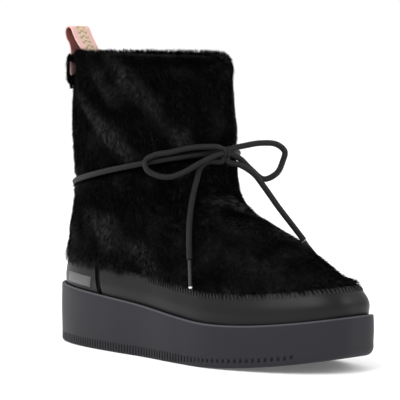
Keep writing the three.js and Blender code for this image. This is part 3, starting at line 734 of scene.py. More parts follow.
# Blades of fur: a root and a bent middle of two points each and a tip. Each leans from the normal
# towards the comb's way, which is down the surface turned by slow noise, tuft noise and chance
def growBlades(name, roots, seed, **changes):
    look = {**furLook, **changes}
    points, normal, down, sheen, hang = roots
    count = len(points)
    draws = np.random.default_rng(seed)
    wave = {key: ripple(points, size, seed + i, sines)
            for i, (key, (size, sines)) in enumerate(furWaves.items(), 1)}
    swirl = look["swirl"] * wave["swirl"] + look["tuft"] * wave["tuft"] + look["stray"] * draws.normal(size=count)
    way = down * np.cos(swirl)[:, None] + np.cross(down, normal) * np.sin(swirl)[:, None]
    # ruffled pile stands straighter, and is drawn lighter as painted sheen
    ruffleAndSheen = np.clip(sheen + look["patch"] * wave["patch"] - look["calm"], *look["ruffleLimits"])
    ruffleAndSheen += look["hangSheen"] * hang
    lean = look["lean"] + look["leanTuft"] * wave["lean"] + look["leanChance"] * draws.normal(size=count)
    lean = np.clip(lean - look["leanRuffled"] * np.clip(ruffleAndSheen, 0, 1.5), *look["leanLimits"])
    length = 1 + look["lengthWave"] * wave["length"] + look["lengthChance"] * draws.normal(size=count)
    length = look["length"] * np.clip(length, *look["lengthLimits"]) * (1 + look["hang"] * hang)

    def stretch(angle):
        return normal * np.cos(angle)[:, None] + way * np.sin(angle)[:, None]

    start = stretch(np.clip(lean - look["bend"], 0.05, 1.3))
    end = stretch(np.clip(lean + look["bend"], 0.3, 1.5))
    root = points - normal * look["sunk"]
    middle = root + start * (length / 2)[:, None]
    tip = middle + end * (length / 2)[:, None]
    roll = draws.uniform(-look["roll"], look["roll"], count)
    flat = unit(np.cross(start, normal), 1e-6)
    wide = flat * np.cos(roll)[:, None] + np.cross(flat, start) * np.sin(roll)[:, None]
    wide *= (look["width"] / 2 * draws.uniform(0.7, 1.3, count))[:, None]
    corners = np.stack([root - wide, root + wide, middle - 0.8 * wide, middle + 0.8 * wide, tip], 1)
    first = 5 * np.arange(count)[:, None]
    streak = 1 + look["streak"] * wave["streak"] + look["lock"] * wave["lock"]
    streak = np.clip(streak + look["speckle"] * draws.normal(size=count), *look["streakLimits"])
    # painted sheen: each blade's lightness is chance tone plus the sheen of ruffled pile, broken up by streaks
    light = draws.normal(0.5, 0.25, count) + look["sheen"] * ruffleAndSheen * streak
    toneAndSheen = np.repeat(np.clip(light, 0, look["lightMost"]), 5)
    # along runs from root to tip; by it the material paints shade at the roots
    along = np.tile((0.0, 0.0, 0.55, 0.55, 1.0), count)
    return meshPiece(name, corners, [first + (0, 1, 3, 2), first + (2, 3, 4)], furFibre,
                     {"along": along, "toneAndSheen": toneAndSheen})


def growOn(name, field, weight, rootSeed, seed, **changes):
    area = (field["area"] * weight)[:-1, :-1].sum()
    count = int(min(area * furCover["perSquare"], furCover["most"]))
    print("boot:", name, count, "blades")
    return growBlades(name, throwRoots(field, weight, count, np.random.default_rng(rootSeed)), seed, **changes)


def growFur():
    turns = np.linspace(0, fullTurn, pile["columns"])
    levels = evenLevels(pile["low"], pile["high"], pile["rows"])
    field = surfaceField(turns, np.stack([levels, np.full_like(levels, -pile["depth"]), 0 * levels], 1))
    ahead, level = np.meshgrid(turns - math.pi, levels)
    past = ahead - flapEdge(level)
    high = (level > flap["low"]) & (level < flap["high"])
    onFlap = high & (ahead > flap["from"]) & (past < 0)
    bare = high & (past >= furCover["bare"][0]) & (past < furCover["bare"][1])
    masks = {"foot": level < boot["tieLevel"], "shaft": level >= boot["tieLevel"]}
    for i, (name, (part, way)) in enumerate(furCover["parts"].items()):
        half = ahead <= 0 if way > 0 else ahead > 0
        growOn(name, field, (masks[part] & half & ~onFlap & ~bare).astype(float), 40 + i, 60 + i)
    rim = ease(past, *furCover["rim"])
    # painted highlight along the flap's free edge, where the pile also grows more thickly
    flapField = {**field, "sheen": field["sheen"] + furCover["rimSheen"] * rim}
    piece = growOn("furFlap", flapField, onFlap * (1 + rim), 50, 70)
    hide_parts("front_flap")
    counts, first, last = furCover["collarRows"]
    collar = surfaceField(turns, shellRows(*counts)[first:last])
    weight = np.full_like(collar["area"], furCover["collar"])
    growOn("furCollar", collar, weight, 51, 80, **furCover["collarLook"])


growFur()
print("boot: fur grown")

# Sole: a rubber cup. Rows run from the middle of the tread out to the edge, up the side, over the lip
# and in across the seat; columns run round the outline
soleShape = {
    "columnsPerRib": 6,
    "ribPitch": 3.2,
    "wider": 0.42,  # how much further apart the forward notches stand
    "widerFrom": (0.55, 0.75),
    "ribDepth": 1.1,
    "notch": (0.3, 0.6),  # the part of each rib's pitch that is cut
    "notchEnd": (0.895, 0.91),
    "forward": (0.5, 0.68),  # where along the sole the slots turn into short notches
    "low": (0, 3.3),  # from where to where the cuts reach up the side, at the heel and forward
    "high": (7.6, 7),
    "cutEnds": (0.8, 1.4),
    "bevel": 2.4,
    "toeBevel": 5,
    "toeFrom": (0.86, 0.97),
    "treadPitch": 12,
    "treadWidth": 3.5,
    "treadDepth": 3,
    "treadRim": 8,
    "treadSoft": 0.35,
    "zones": (0.3, 0.54, 0.92),  # the heel's end and the ball's start and end along the sole
    "waistRecess": 1.5,
    "lean": 0.1,
    "bottomRows": 24,
    "sideLevels": (3.2, 4.2, 5.4, 6.2, 6.8, 7.4, 8.2, 9.4),
    "wallRows": 8,
    "swell": 0.25,  # how far the wall stands out between its foot and the lip
    # painted highlight: how much lighter the lip's outer rounding is drawn
    "lipShine": 0.8,
}
soleFinish = {
    "roughness": 0.55, "specular": 0.19, "pores": 700, "clouds": 18, "share": 0.35,
    "dark": (0.0095, 0.0095, 0.0128), "light": (0.015, 0.015, 0.019), "gloss": (0.5, 0.62), "relief": 0.05,
    # painted shade in the cut notches, and the colour of a painted highlight along the lip's edge
    "hollow": 0.5, "edge": (0.05, 0.05, 0.058),
}
soleRubber = grainMaterial("soleRubber", soleFinish)


def evenTurns(count):
    fine = np.linspace(0, fullTurn, 5761)
    plan = solePlan(fine)
    apart = 1 + soleShape["wider"] * ease(plan[1:, 0] / boot["soleLength"], *soleShape["widerFrom"])
    run = wayAlong(plan, apart)
    return np.interp(np.arange(count) * run[-1] / count, run, fine), run[-1]


# How deep the tread is cut at a point of the underside: slots with soft walls, and a shallow waist
def treadCut(x, y, rim):
    shape = soleShape
    pitch, half, soft = shape["treadPitch"], shape["treadWidth"] / 2, shape["treadSoft"]
    heelEnd, ballStart, ballEnd = (share * boot["soleLength"] for share in shape["zones"])

    def slots(first, last, lean):
        centre = x + math.tan(lean) * y
        nearest = first + np.round((centre - first) / pitch) * pitch
        inside = (nearest >= first - 0.1) & (nearest < last)
        return np.where(inside, 1 - ease(np.abs(centre - nearest), half - soft, half + soft), 0)

    heel = slots(boot["heelSpot"] - 2.5 * pitch, heelEnd, shape["lean"])
    ball = slots(ballStart, ballEnd, -shape["lean"])
    waistFrom, waistTo = heelEnd + pitch / 2, ballStart - pitch / 2
    waist = between(x, (waistFrom - 1, waistFrom + 1, waistTo - 1, waistTo + 1))
    within = ease(rim, shape["treadRim"] - 0.5, shape["treadRim"] + 0.5)
    return within * (shape["treadDepth"] * np.maximum(heel, ball) + shape["waistRecess"] * waist)


def buildSole():
    shape, lip = soleShape, boot["lipWidth"] / 2
    columns = 2 * round(evenTurns(10)[1] / shape["ribPitch"] / 2) * shape["columnsPerRib"]
    turns = evenTurns(columns)[0]
    share = solePlan(turns)[:, 0] / boot["soleLength"]
    phase = (np.arange(columns) % shape["columnsPerRib"]) / shape["columnsPerRib"]
    cut = (phase > shape["notch"][0]) & (phase < shape["notch"][1])
    notch = np.where(cut, 1 - ease(share, *shape["notchEnd"]), 0)
    low, high = (mix(*shape[key], ease(share, *shape["forward"])) for key in ("low", "high"))
    bevel = mix(shape["bevel"], shape["toeBevel"], ease(share, *shape["toeFrom"]))
    grid, hollows, lipHighlights = [], [], []

    # each row carries how much painted shade its cut notches get and how much painted highlight its lip edge gets
    def addRow(plan, z, hollow=0, edge=0):
        grid.append(np.column_stack([plan, z]))
        hollows.append(hollow + 0 * turns)
        lipHighlights.append(edge + 0 * turns)

    rim = solePlan(turns, bevel)
    middle = midline(rim, solePlan(-turns, shape["bevel"]))
    for s in np.linspace(0, 1, shape["bottomRows"]):
        plan = mix(middle, rim, s)
        depth = treadCut(plan[:, 0], plan[:, 1], np.linalg.norm(rim - plan, axis=1))
        addRow(plan, treadHeight(plan[:, 0]) + depth)
    foot = shape["sideLevels"][-1]
    steps = [(bevel * (1 - math.sin(a)), bevel * (1 - math.cos(a))) for a in np.linspace(0, math.pi / 2, 6)[1:]]
    steps += [(0, mix(bevel, foot, (height - shape["bevel"]) / (foot - shape["bevel"])))
              for height in shape["sideLevels"]]
    for inset, height in steps:
        below, above = shape["cutEnds"]
        bite = notch * ease(height, low, low + below) * (1 - ease(height, high - above, high))
        plan = solePlan(turns, inset + shape["ribDepth"] * bite)
        # the bite also sets the painted shade drawn in the notch
        addRow(plan, treadHeight(plan[:, 0]) + height, bite)
    for part in np.linspace(0.12, 1, shape["wallRows"]):
        plan = solePlan(turns, -shape["swell"] * math.sin(math.pi * part))
        addRow(plan, mix(treadHeight(plan[:, 0]) + foot, lipHeight(plan[:, 0]) - lip, part))
    steps = [(lip * (1 - math.cos(a)), lip * math.sin(a)) for a in np.linspace(0.3, math.pi - 0.2, 7)]
    for inset, height in [*steps, (boot["lipWidth"], lip - boot["lipDepth"])]:
        plan = solePlan(turns, inset)
        # the outer half of the lip's rounding gets the painted highlight
        addRow(plan, lipHeight(plan[:, 0]) - lip + height, 0, shape["lipShine"] * (inset < lip))
    seat = solePlan(turns, boot["lipWidth"])
    for s in (0, 0.5, 1):
        plan = mix(seat, midline(seat, solePlan(-turns, boot["lipWidth"])), s)
        addRow(plan, seatHeight(plan[:, 0]))
    faces = gridFaces(len(grid), columns, joinColumns=True)
    piece = meshPiece("soleCup", grid, [faces], soleRubber, {"hollow": hollows, "edge": lipHighlights})
    piece.data.set_sharp_from_angle(angle=math.radians(38))
    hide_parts("sole_unit")


buildSole()
print("boot: sole built")

# Rand and counter: leather bands on the upper's own surface, with a rolled top edge
bands = {
    "rows": 14,
    "roll": 5,
    "rollRise": 0.012,  # as a level
    "columns": (260, 90),
    "bottom": 0.004,
    "puff": 0.35,
    "gap": 2.9,  # half the seam's width
    "slant": 0.065,  # how far the seam's top turns towards the heel
    "slantReach": 0.12,
    "slantFrom": 0.3,
}
leatherFinish = {
    "roughness": 0.4, "specular": 0.155, "pores": 1500, "clouds": 30, "share": 0.3,
    "dark": (0.004, 0.004, 0.0048), "light": (0.0075, 0.0075, 0.0085), "gloss": (0.32, 0.44), "relief": 0.06,
}
randLeather = grainMaterial("randLeather", leatherFinish)
seam = turnAtX(0.0, boot["seamAt"])
gapHalf = turnAtX(0.0, boot["seamAt"] + bands["gap"]) - seam


# A band: a closed strip whose section goes up the outer face, over the rolled edge and down the back
def buildBand(name, turns, node):
    top, outer = boot["randLevel"], -boot["randSunk"]
    section = [(mix(bands["bottom"], top, s), outer + bands["puff"] * math.sin(math.pi * s) ** 2)
               for s in np.linspace(0, 1, bands["rows"])]
    section += [(top + bands["rollRise"] * math.sin(a), outer - boot["randThickness"] / 2 * (1 - math.cos(a)))
                for a in np.linspace(0, math.pi, bands["roll"] + 2)[1:-1]]
    section += [(level, outer - boot["randThickness"]) for level in np.linspace(top, bands["bottom"], 5)]
    level, out = np.array(section).T[..., None]
    about = np.mod(turns + math.pi, fullTurn) - math.pi
    inner, near = (np.exp(-(((about + at) / bands["slantReach"]) ** 2)) for at in (seam, -seam))
    shift = bands["slant"] * (inner - near) * (level / top - bands["slantFrom"])
    points = upperPoint(turns[None, :] + shift, level, out)
    rows, columns = points.shape[:2]
    ring = np.arange(rows) * columns
    faces = [gridFaces(rows, columns, joinRows=True), fan(ring), fan(ring + columns - 1, True)]
    piece = meshPiece(name, points, faces, randLeather)
    piece.data.set_sharp_from_angle(angle=math.radians(50))
    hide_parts(node)


buildBand("randBand", np.linspace(seam + gapHalf, fullTurn - seam - gapHalf, bands["columns"][0]), "rand")
buildBand("counterBand", np.linspace(gapHalf - seam, seam - gapHalf, bands["columns"][1]), "heel_counter")
print("boot: rand and counter built")


# A smooth curve through points, whose knots stand apart by the square root of their distance
def catmull(points, count):
    points = np.asarray(points, float)
    p = np.concatenate((2 * points[:1] - points[1:2], points, 2 * points[-1:] - points[-2:-1]))
    gaps = np.sqrt(np.linalg.norm(np.diff(p[:, :3], axis=0), axis=1))
    t = np.linspace(0, len(points) - 1, count)
    i = np.minimum(t.astype(int), len(points) - 2)
    s = (t - i)[:, None]
    d0, d1, d2 = (gaps[i + k][:, None] for k in range(3))
    p0, p1, p2, p3 = (p[i + k] for k in range(4))
    m1 = ((p1 - p0) / d0 - (p2 - p0) / (d0 + d1) + (p2 - p1) / d1) * d1
    m2 = ((p2 - p1) / d1 - (p3 - p1) / (d1 + d2) + (p3 - p2) / d2) * d1
    return (2 * p1 - 2 * p2 + m1 + m2) * s**3 + (-3 * p1 + 3 * p2 - 2 * m1 - m2) * s**2 + m1 * s + p1


def evenPath(points, step):
    fine = catmull(points, 1200)
    run = wayAlong(fine)
    at = np.linspace(0, run[-1], max(int(run[-1] / step), 8))
    return np.stack([np.interp(at, run, fine[:, k]) for k in range(3)], 1), run[-1]


# A tube: a round section carried along a path, on axes square to it
def tubeGrid(path, radius, sides, reference, closed=False):
    tangent = unit(np.roll(path, -1, 0) - np.roll(path, 1, 0) if closed else np.gradient(path, axis=0))
    one = unit(np.cross(tangent, np.broadcast_to(reference, tangent.shape)))
    two = np.cross(tangent, one)
    angle = np.linspace(0, fullTurn, sides + 1)
    ring = one[:, None] * np.cos(angle)[None, :, None] + two[:, None] * np.sin(angle)[None, :, None]
    return path[:, None] + ring * np.broadcast_to(radius, (len(path), sides + 1))[..., None], angle


def tubeUv(angle, run):
    return np.stack(np.broadcast_arrays(angle / fullTurn, run[:, None]), -1)


cordSet = {
    "diameter": boot["cordDiameter"],
    "sides": 16,
    "step": 0.55,
    "braid": 0.035,  # how far the strands stand out, as a share of the radius
    "sunk": 0.6,
    "strands": 4,
    "lay": 5.5,  # millimetres in which a strand goes once round
    "tieColumns": 640,
}
cordFinish = {
    # the cord is drawn dark in its braid's grooves and light on its crowns: painted shade and painted highlight
    "roughness": 0.5, "specular": 0.15, "dark": (0.0036, 0.0036, 0.004), "light": (0.0088, 0.0088, 0.0094),
    "around": 8.0, "along": 0.9, "relief": 0.12,
}
cordBraid = yarnMaterial("cordBraid", cordFinish)


# A braided cord: the radius follows two sets of strands that wind opposite ways
def buildCord(name, points, reference, closed=False):
    if closed:
        path = np.asarray(points, float)
        length = np.linalg.norm(np.roll(path, -1, 0) - path, axis=1).sum()
    else:
        path, length = evenPath(points, cordSet["step"])
    run = np.linspace(0, length, len(path))
    angle = np.linspace(0, fullTurn, cordSet["sides"] + 1)
    wind = fullTurn * run[:, None] / cordSet["lay"]
    ridge = np.maximum(*(np.cos(cordSet["strands"] * (angle + way)) for way in (wind, -wind)))
    radius = cordSet["diameter"] / 2 * (1 + cordSet["braid"] * (ridge - cordSet["sunk"]))
    grid, _ = tubeGrid(path, radius, cordSet["sides"], reference, closed)
    rows, columns = grid.shape[:2]
    points, uv = grid.reshape(-1, 3), tubeUv(angle, run).reshape(-1, 2)
    faces = [gridFaces(rows, columns, joinRows=closed)]
    for r, flip in () if closed else ((0, True), (rows - 1, False)):
        ring = r * columns + np.arange(columns - 1)
        cap = np.stack([ring, ring + 1, np.full(columns - 1, len(points))], 1)
        faces.append(cap[:, ::-1] if flip else cap)
        points = np.concatenate([points, path[r][None]])
        uv = np.concatenate([uv, [[0, run[r]]]])
    return meshPiece(name, points, faces, cordBraid, uv=uv), placed(path), length * mm


# Bow: the middle lines of its cords, from the knot on
bow = {
    "loopOuter": [
        (163, -11.8, 147.5), (158, -18, 148), (149, -27, 147), (138, -34, 144), (128, -39, 142), (122, -42, 138),
        (124, -43, 132), (131, -40, 128), (139, -36, 127), (148, -32, 130), (156.6, -25.5, 136.1),
        (162.4, -17.3, 141.1), (164.3, -11.8, 142.8),
    ],
    "loopInner": [
        (165.5, -2.9, 146), (171, 7, 148.5), (176, 17, 150), (182, 27, 149), (186, 31, 144), (185, 30, 137),
        (184, 25, 129), (179, 17, 125), (174, 9, 132), (170, 3, 139), (166.2, -2.5, 142.6),
    ],
    "endOuter": [
        (163.6, -9.2, 138), (157.2, -17.4, 137.4), (154.4, -21.2, 133), (153.6, -23.4, 126), (153.8, -28, 113),
        (158, -35, 100), (164, -42, 86), (168, -45.5, 72),
    ],
    "endInner": [
        (165.8, -5.2, 137.4), (173, 0, 135), (179, 7, 129), (184, 12, 120), (193, 17, 106), (200, 22, 95),
        (207, 28, 83),
    ],
    "outward": (0.985, -0.17, 0.0),
}
knotSet = {
    "centre": (164.29, -6.18, 143.87),
    "turn": -0.12,
    "deep": 1.35,
    "high": 2.75,
    "radius": 1.65,
    "apart": 1.6,
    "skew": 0.25,
    "lead": 0.42,  # how far towards the centre the cords are led
    "columns": 40,
    "sides": 14,
}
tipSet = {
    "radius": 1.4,
    "length": 20,
    "gap": 0.3,
    "sides": 16,
    "profile": table("along radius", [
        (0, 0.01), (0, 0.95), (0.03, 1), (0.08, 1), (0.16, 0.93), (0.2, 0.9), (0.24, 0.93), (0.5, 0.95),
        (0.88, 0.95), (0.93, 0.9), (0.955, 0.95), (0.985, 0.85), (1, 0.6), (1, 0.01),
    ]),
}
tipFinish = {
    # the pale colour on the tip's last part is a painted highlight
    "roughness": 0.4, "specular": 0.3, "dark": (0.012, 0.012, 0.013), "endHighlight": (0.75, 0.73, 0.7),
    "highlightFrom": 0.95, "rings": 90.0, "relief": 0.08,
}


def makeTipMaterial():
    material, tree, shader = newMaterial("tipCase", tipFinish)
    along = addNode(tree, "SeparateXYZ", None, at0=readUv(tree)).outputs[1]
    # painted highlight: the last part of the tip is drawn pale
    end = mathNode(tree, "GREATER_THAN", along, tipFinish["highlightFrom"])
    tree.links.new(blend(tree, end, tipFinish["dark"], tipFinish["endHighlight"]), shader.inputs["Base Color"])
    rings = mathNode(tree, "SINE", mathNode(tree, "MULTIPLY", along, tipFinish["rings"]))
    bump(tree, shader, rings, tipFinish["relief"])
    return material


tipCase = makeTipMaterial()


# A cord tip: a crimped sleeve turned round the cord's last direction
def buildTip(name, start, along, node):
    shares, radii = tipSet["profile"]["along"], tipSet["profile"]["radius"] * tipSet["radius"]
    path = start + np.outer(tipSet["gap"] + shares * tipSet["length"], along)
    steady = start + np.outer(np.arange(len(shares)), along)
    grid, angle = tubeGrid(steady, radii[:, None], tipSet["sides"], (0.3, 0.9, 0.1))
    grid = grid - steady[:, None] + path[:, None]
    piece = meshPiece(name, grid, [gridFaces(*grid.shape[:2])], tipCase, uv=tubeUv(angle, shares))
    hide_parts(node)
    return piece


# A cord's points with its ends at the knot led on into the wraps
def intoKnot(points, both):
    points, centre = np.asarray(points, float), np.array(knotSet["centre"])
    led = [mix(points[:1], centre[None], knotSet["lead"]), points]
    if both:
        led.append(mix(points[-1:], centre[None], knotSet["lead"]))
    return np.concatenate(led)


def buildBow():
    for where in ("Outer", "Inner"):
        piece, path, length = buildCord("bowLoop" + where, intoKnot(bow["loop" + where], True), bow["outward"])
        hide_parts("bow_loop_" + where.lower())
    for where in ("Outer", "Inner"):
        points = intoKnot(bow["end" + where], False)
        piece, path, length = buildCord("bowEnd" + where, points, bow["outward"])
        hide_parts("bow_end_" + where.lower())
        last = catmull(points, 1200)[-2:]
        tip = buildTip("bowTip" + where, last[1], unit(last[1] - last[0]), "bow_tip_" + where.lower())


# The knot: two wraps side by side, each a closed oval that stands across the bow
def buildKnot():
    t = turnsRound(knotSet["columns"])
    grids, uvs, faces, start = [], [], [], 0
    for way in (-1, 1):
        oval = np.stack([knotSet["deep"] * np.cos(t), way * (knotSet["apart"] + knotSet["skew"] * np.sin(t)),
                         knotSet["high"] * np.sin(t)], 1)
        grid, angle = tubeGrid(oval, knotSet["radius"], knotSet["sides"], (0, 1, 0), closed=True)
        grids.append(grid.reshape(-1, 3))
        uvs.append(tubeUv(angle, 2 * t).reshape(-1, 2))
        faces.append(gridFaces(*grid.shape[:2], joinRows=True, start=start))
        start += len(grids[-1])
    c, s = math.cos(knotSet["turn"]), math.sin(knotSet["turn"])
    turned = np.concatenate(grids) @ np.array([[c, s, 0], [-s, c, 0], [0, 0, 1]])
    piece = meshPiece("bowKnot", turned + knotSet["centre"], faces, cordBraid, uv=np.concatenate(uvs))
    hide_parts("bow_knot")


def buildAnkleCord():
    out = 2 * boot["clearance"] + cordSet["diameter"] / 2 - boot["tieGroove"]
    path = upperPoint(turnsRound(cordSet["tieColumns"]), boot["tieLevel"], out)
    piece, _, _ = buildCord("ankleCord", path, (0, 0, 1), closed=True)
    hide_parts("ankle_cord")


buildBow()
buildKnot()
buildAnkleCord()
print("boot: cord, bow and tips built")

# Pull loop: a woven ribbon, outside and inside the collar, standing up as a finger loop
ribbon = {
    "width": 18,
    "thickness": 1.2,
    "rise": 17,
    "turn": 0.37,
    "steps": 120,
    "across": 20,
    "under": 0.9,  # how pale the inner face is below the collar: its share of the lit pink against the painted shade
    "stations": table("out up turned", [
        (0.2, -1.6, 0), (0.42, -1.1, 0), (0.48, -0.6, 0), (0.38, 0.0, 0.1), (0.42, 0.22, 0.4), (0.58, 0.42, 0.8),
        (0.76, 0.7, 1), (0.74, 0.88, 1), (0.48, 0.98, 1), (0.12, 1, 1), (-0.2, 0.93, 1), (-0.42, 0.78, 1),
        (-0.82, 0.52, 1), (-1.22, 0.3, 0.95), (-1.58, 0.08, 0.8), (-1.72, -0.2, 0.6), (-1.68, -0.5, 0.35),
        (-1.56, -0.8, 0.12), (-1.45, -1.1, 0),
    ]),
}
ribbonFinish = {
    "roughness": 0.6, "specular": 0.3, "relief": 0.1, "around": 26.0, "along": 1.6,
    "margin": (0.7, 0.44, 0.41), "centre": (0.62, 0.45, 0.3), "spark": (0.85, 0.78, 0.62),
    # the inside colour is the pink ribbon in painted shade, on the face that turns into the loop
    "dark": (0.2, 0.13, 0.09), "inside": (0.3, 0.09, 0.075),
    "band": 0.24,  # how far the patterned middle reaches to either side, as a share of the width
    "zigs": 6.0,  # strokes of the zigzag across the ribbon
    "zigRepeat": 0.24,  # zigzags to a millimetre
    "zigHeight": 0.6,
    "zigLine": 0.19,
    "flecks": 900.0,
    "fleckSize": 0.28,
}


def makeRibbonMaterial():
    finish = ribbonFinish
    material, tree, shader = newMaterial("ribbonWeave", finish)
    uv = readUv(tree)
    across, along, _ = addNode(tree, "SeparateXYZ", None, at0=uv).outputs
    yarn = placeGroup(tree, yarnGroup, UV=uv, Around=finish["around"], Along=finish["along"])
    # the middle has a plain zigzag of pale and dark threads with bright flecks
    centred = mathNode(tree, "ABSOLUTE", mathNode(tree, "SUBTRACT", across, 0.5))
    middle = mathNode(tree, "LESS_THAN", centred, finish["band"])
    zig = mathNode(tree, "PINGPONG", mathNode(tree, "MULTIPLY", across, finish["zigs"]), 1.0)
    lifted = mathNode(tree, "MULTIPLY", zig, finish["zigHeight"])
    wave = mathNode(tree, "FRACT", mathNode(tree, "MULTIPLY_ADD", along, finish["zigRepeat"], lifted))
    line = mathNode(tree, "LESS_THAN", wave, finish["zigLine"])
    fleck = addNode(tree, "TexVoronoi", {"feature": "F1"}, Vector=objectPlace(tree), Scale=finish["flecks"])
    bright = mathNode(tree, "LESS_THAN", fleck.outputs["Distance"], finish["fleckSize"])
    lined = blend(tree, line, blend(tree, bright, finish["centre"], finish["spark"]), finish["dark"])
    # one face is drawn in the inside colour, a painted shade of the pink; the other in the pink margin colour with
    # the printed middle
    face = readAttribute(tree, "outside")
    shown = mathNode(tree, "MULTIPLY", middle, mathNode(tree, "GREATER_THAN", face, 0.95))
    color = blend(tree, shown, blend(tree, face, finish["inside"], finish["margin"]), lined)
    tree.links.new(color, shader.inputs["Base Color"])
    bump(tree, shader, yarn["Height"], finish["relief"])
    return material


ribbonWeave = makeRibbonMaterial()


# The ribbon's middle line and the way across it, smooth through the stations
def ribbonPath(count):
    rim = upperPoint(ribbon["turn"], 1.0, 0.0)
    outward = upperPoint(ribbon["turn"], 1.0, 10.0) - rim
    outward[2] = 0
    outward = unit(outward)
    across = np.array([-outward[1], outward[0], 0])
    s = ribbon["stations"]
    facing = unit(mix(outward, np.array([-1.0, 0, 0]), s["turned"][:, None]))
    centres = rim + facing * (s["out"] * boot["wall"])[:, None]
    centres[:, 2] += s["up"] * ribbon["rise"]
    wide = unit(mix(across, np.array([0, -1.0, 0]), s["turned"][:, None]))
    both = catmull(np.hstack([centres, wide]), count)
    line, wide = both[:, :3], both[:, 3:]
    along = unit(np.gradient(line, axis=0))
    wide = unit(wide - along * (wide * along).sum(1, keepdims=True))
    return line, wide, np.cross(along, wide), along


# A flat section with round selvedges, carried along the path
def buildRibbon():
    line, wide, face, _ = ribbonPath(ribbon["steps"])
    half, thick = ribbon["width"] / 2, ribbon["thickness"] / 2
    bend = np.linspace(math.pi / 2, -math.pi / 2, 5)[1:-1]
    profile = []
    for way in (1, -1):
        profile += [(way * u * (half - thick), way * thick, way > 0) for u in np.linspace(-1, 1, ribbon["across"])]
        profile += [(way * (half - thick + thick * math.cos(a)), way * thick * math.sin(a), 0) for a in bend]
    profile = np.array(profile)
    grid = line[:, None] + wide[:, None] * profile[None, :, 0, None] + face[:, None] * profile[None, :, 1, None]
    rows, columns = grid.shape[:2]
    # below the collar the outer ply is pale on both faces, with little of the painted shade
    under = (line[:, 2] < line[:, 2].max() - ribbon["rise"]) & (np.arange(rows) < rows // 2)
    outside = np.where(under[:, None], ribbon["under"], 1 - profile[:, 2])
    uv = np.stack(np.broadcast_arrays(profile[:, 0] / ribbon["width"] + 0.5, wayAlong(line)[:, None]), -1)
    ring = np.arange(columns)
    faces = [gridFaces(rows, columns, joinColumns=True), fan(ring, True), fan(ring + (rows - 1) * columns)]
    piece = meshPiece("pullRibbon", grid, faces, ribbonWeave, {"outside": outside}, uv=uv)
    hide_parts("pull_loop")


buildRibbon()

# The pile's strip that covers the pull loop's outer ply, and closes round it just under the collar.
# Heights are counted from the collar's edge in the loop's rise
stripSet = {
    "rows": 160,
    "across": 40,
    "low": -1.62,
    "high": -0.1,
    "round": -0.38,
    "close": -1.1,
    "soft": 0.08,
    "count": 13000,
    "taper": (-1.5, -0.9),  # below these the blades get shorter and their painted sheen weaker
    "shorter": 0.5,
    "look": {"length": 5.4, "lean": 0.9},
}


def growStrip():
    line, wide, face, along = ribbonPath(stripSet["rows"])
    rimHeight = float(upperPoint(ribbon["turn"], 1.0, 0.0)[2])
    height = (line[:, 2] - rimHeight) / ribbon["rise"]
    outer = np.arange(len(line)) < np.argmax(line[:, 2])
    keep = outer & (height > stripSet["low"]) & (height < stripSet["high"])
    line, wide, face, along, height = (v[keep] for v in (line, wide, face, along, height))
    angle = np.linspace(0, fullTurn, stripSet["across"])
    flat, deep = np.cos(angle)[:, None], np.sin(angle)[:, None]
    wide, away = wide[:, None], (face * np.where(face[:, :1] < 0, 1, -1))[:, None]
    points = line[:, None] + wide * ribbon["width"] / 2 * flat + away * ribbon["thickness"] / 2 * deep
    soft = stripSet["soft"]
    around = ease(height, stripSet["round"] - soft, stripSet["round"]) + 1
    around -= ease(height, stripSet["close"], stripSet["close"] + soft)
    weight = np.clip(ease(deep[:, 0], 0.0, 0.3) + around[:, None], 0, 1)
    step = np.linalg.norm(np.gradient(points, axis=1), axis=-1)
    taper = 1 - ease(height, *stripSet["taper"])
    field = {"points": points, "normal": unit(wide * flat**5 + away * deep, 1e-6), "area": step, "sheen": 0 * step,
             "down": np.broadcast_to(-along[:, None] * np.sign(along[:, None, 2:]), points.shape),
             "hang": 0 * step - stripSet["shorter"] * taper[:, None]}
    roots = throwRoots(field, weight, stripSet["count"], np.random.default_rng(52))
    growBlades("ribbonFur", roots, 90, **stripSet["look"])


growStrip()
print("boot: pull loop built")

# Label: a bare satin patch on the counter's outer side
labelSet = {
    "back": 20,
    "front": 54,
    "low": 0.062,
    "high": 0.148,
    "thickness": 0.8,
    "lift": -0.2,
    "columns": 44,
    "rows": 14,
}
labelFinish = {
    "roughness": 0.35, "specular": 0.5, "pores": 2200, "clouds": 90, "share": 0.2,
    "dark": (0.03, 0.03, 0.032), "light": (0.06, 0.06, 0.063), "gloss": (0.34, 0.46), "relief": 0.04,
}
labelSatin = grainMaterial("labelSatin", labelFinish)


def buildLabel():
    columns, rows = labelSet["columns"], labelSet["rows"]
    u, v = np.meshgrid(np.linspace(-1, 1, columns), np.linspace(-1, 1, rows))
    corner = np.maximum(np.abs(u), np.abs(v)) ** 8
    height = labelSet["thickness"] * np.clip(1 - 0.6 * corner, 0.3, 1)
    turn = mix(turnAtX(0.0, labelSet["back"]), turnAtX(0.0, labelSet["front"]), (u + 1) / 2)
    level = mix(labelSet["low"], labelSet["high"], (v + 1) / 2)
    points = np.concatenate([upperPoint(turn, level, labelSet["lift"] + out) for out in (height, 0 * height)])
    count = rows * columns
    order = np.arange(count).reshape(rows, columns)
    rim = np.concatenate([order[0], order[1:, -1], order[-1, -2::-1], order[-2:0:-1, 0]])
    nextRim = np.roll(rim, -1)
    faces = [gridFaces(rows, columns), gridFaces(rows, columns, start=count, flip=True),
             np.stack([nextRim, rim, rim + count, nextRim + count], 1)]
    piece = meshPiece("sideLabel", points, faces, labelSatin)
    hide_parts("side_label")


buildLabel()

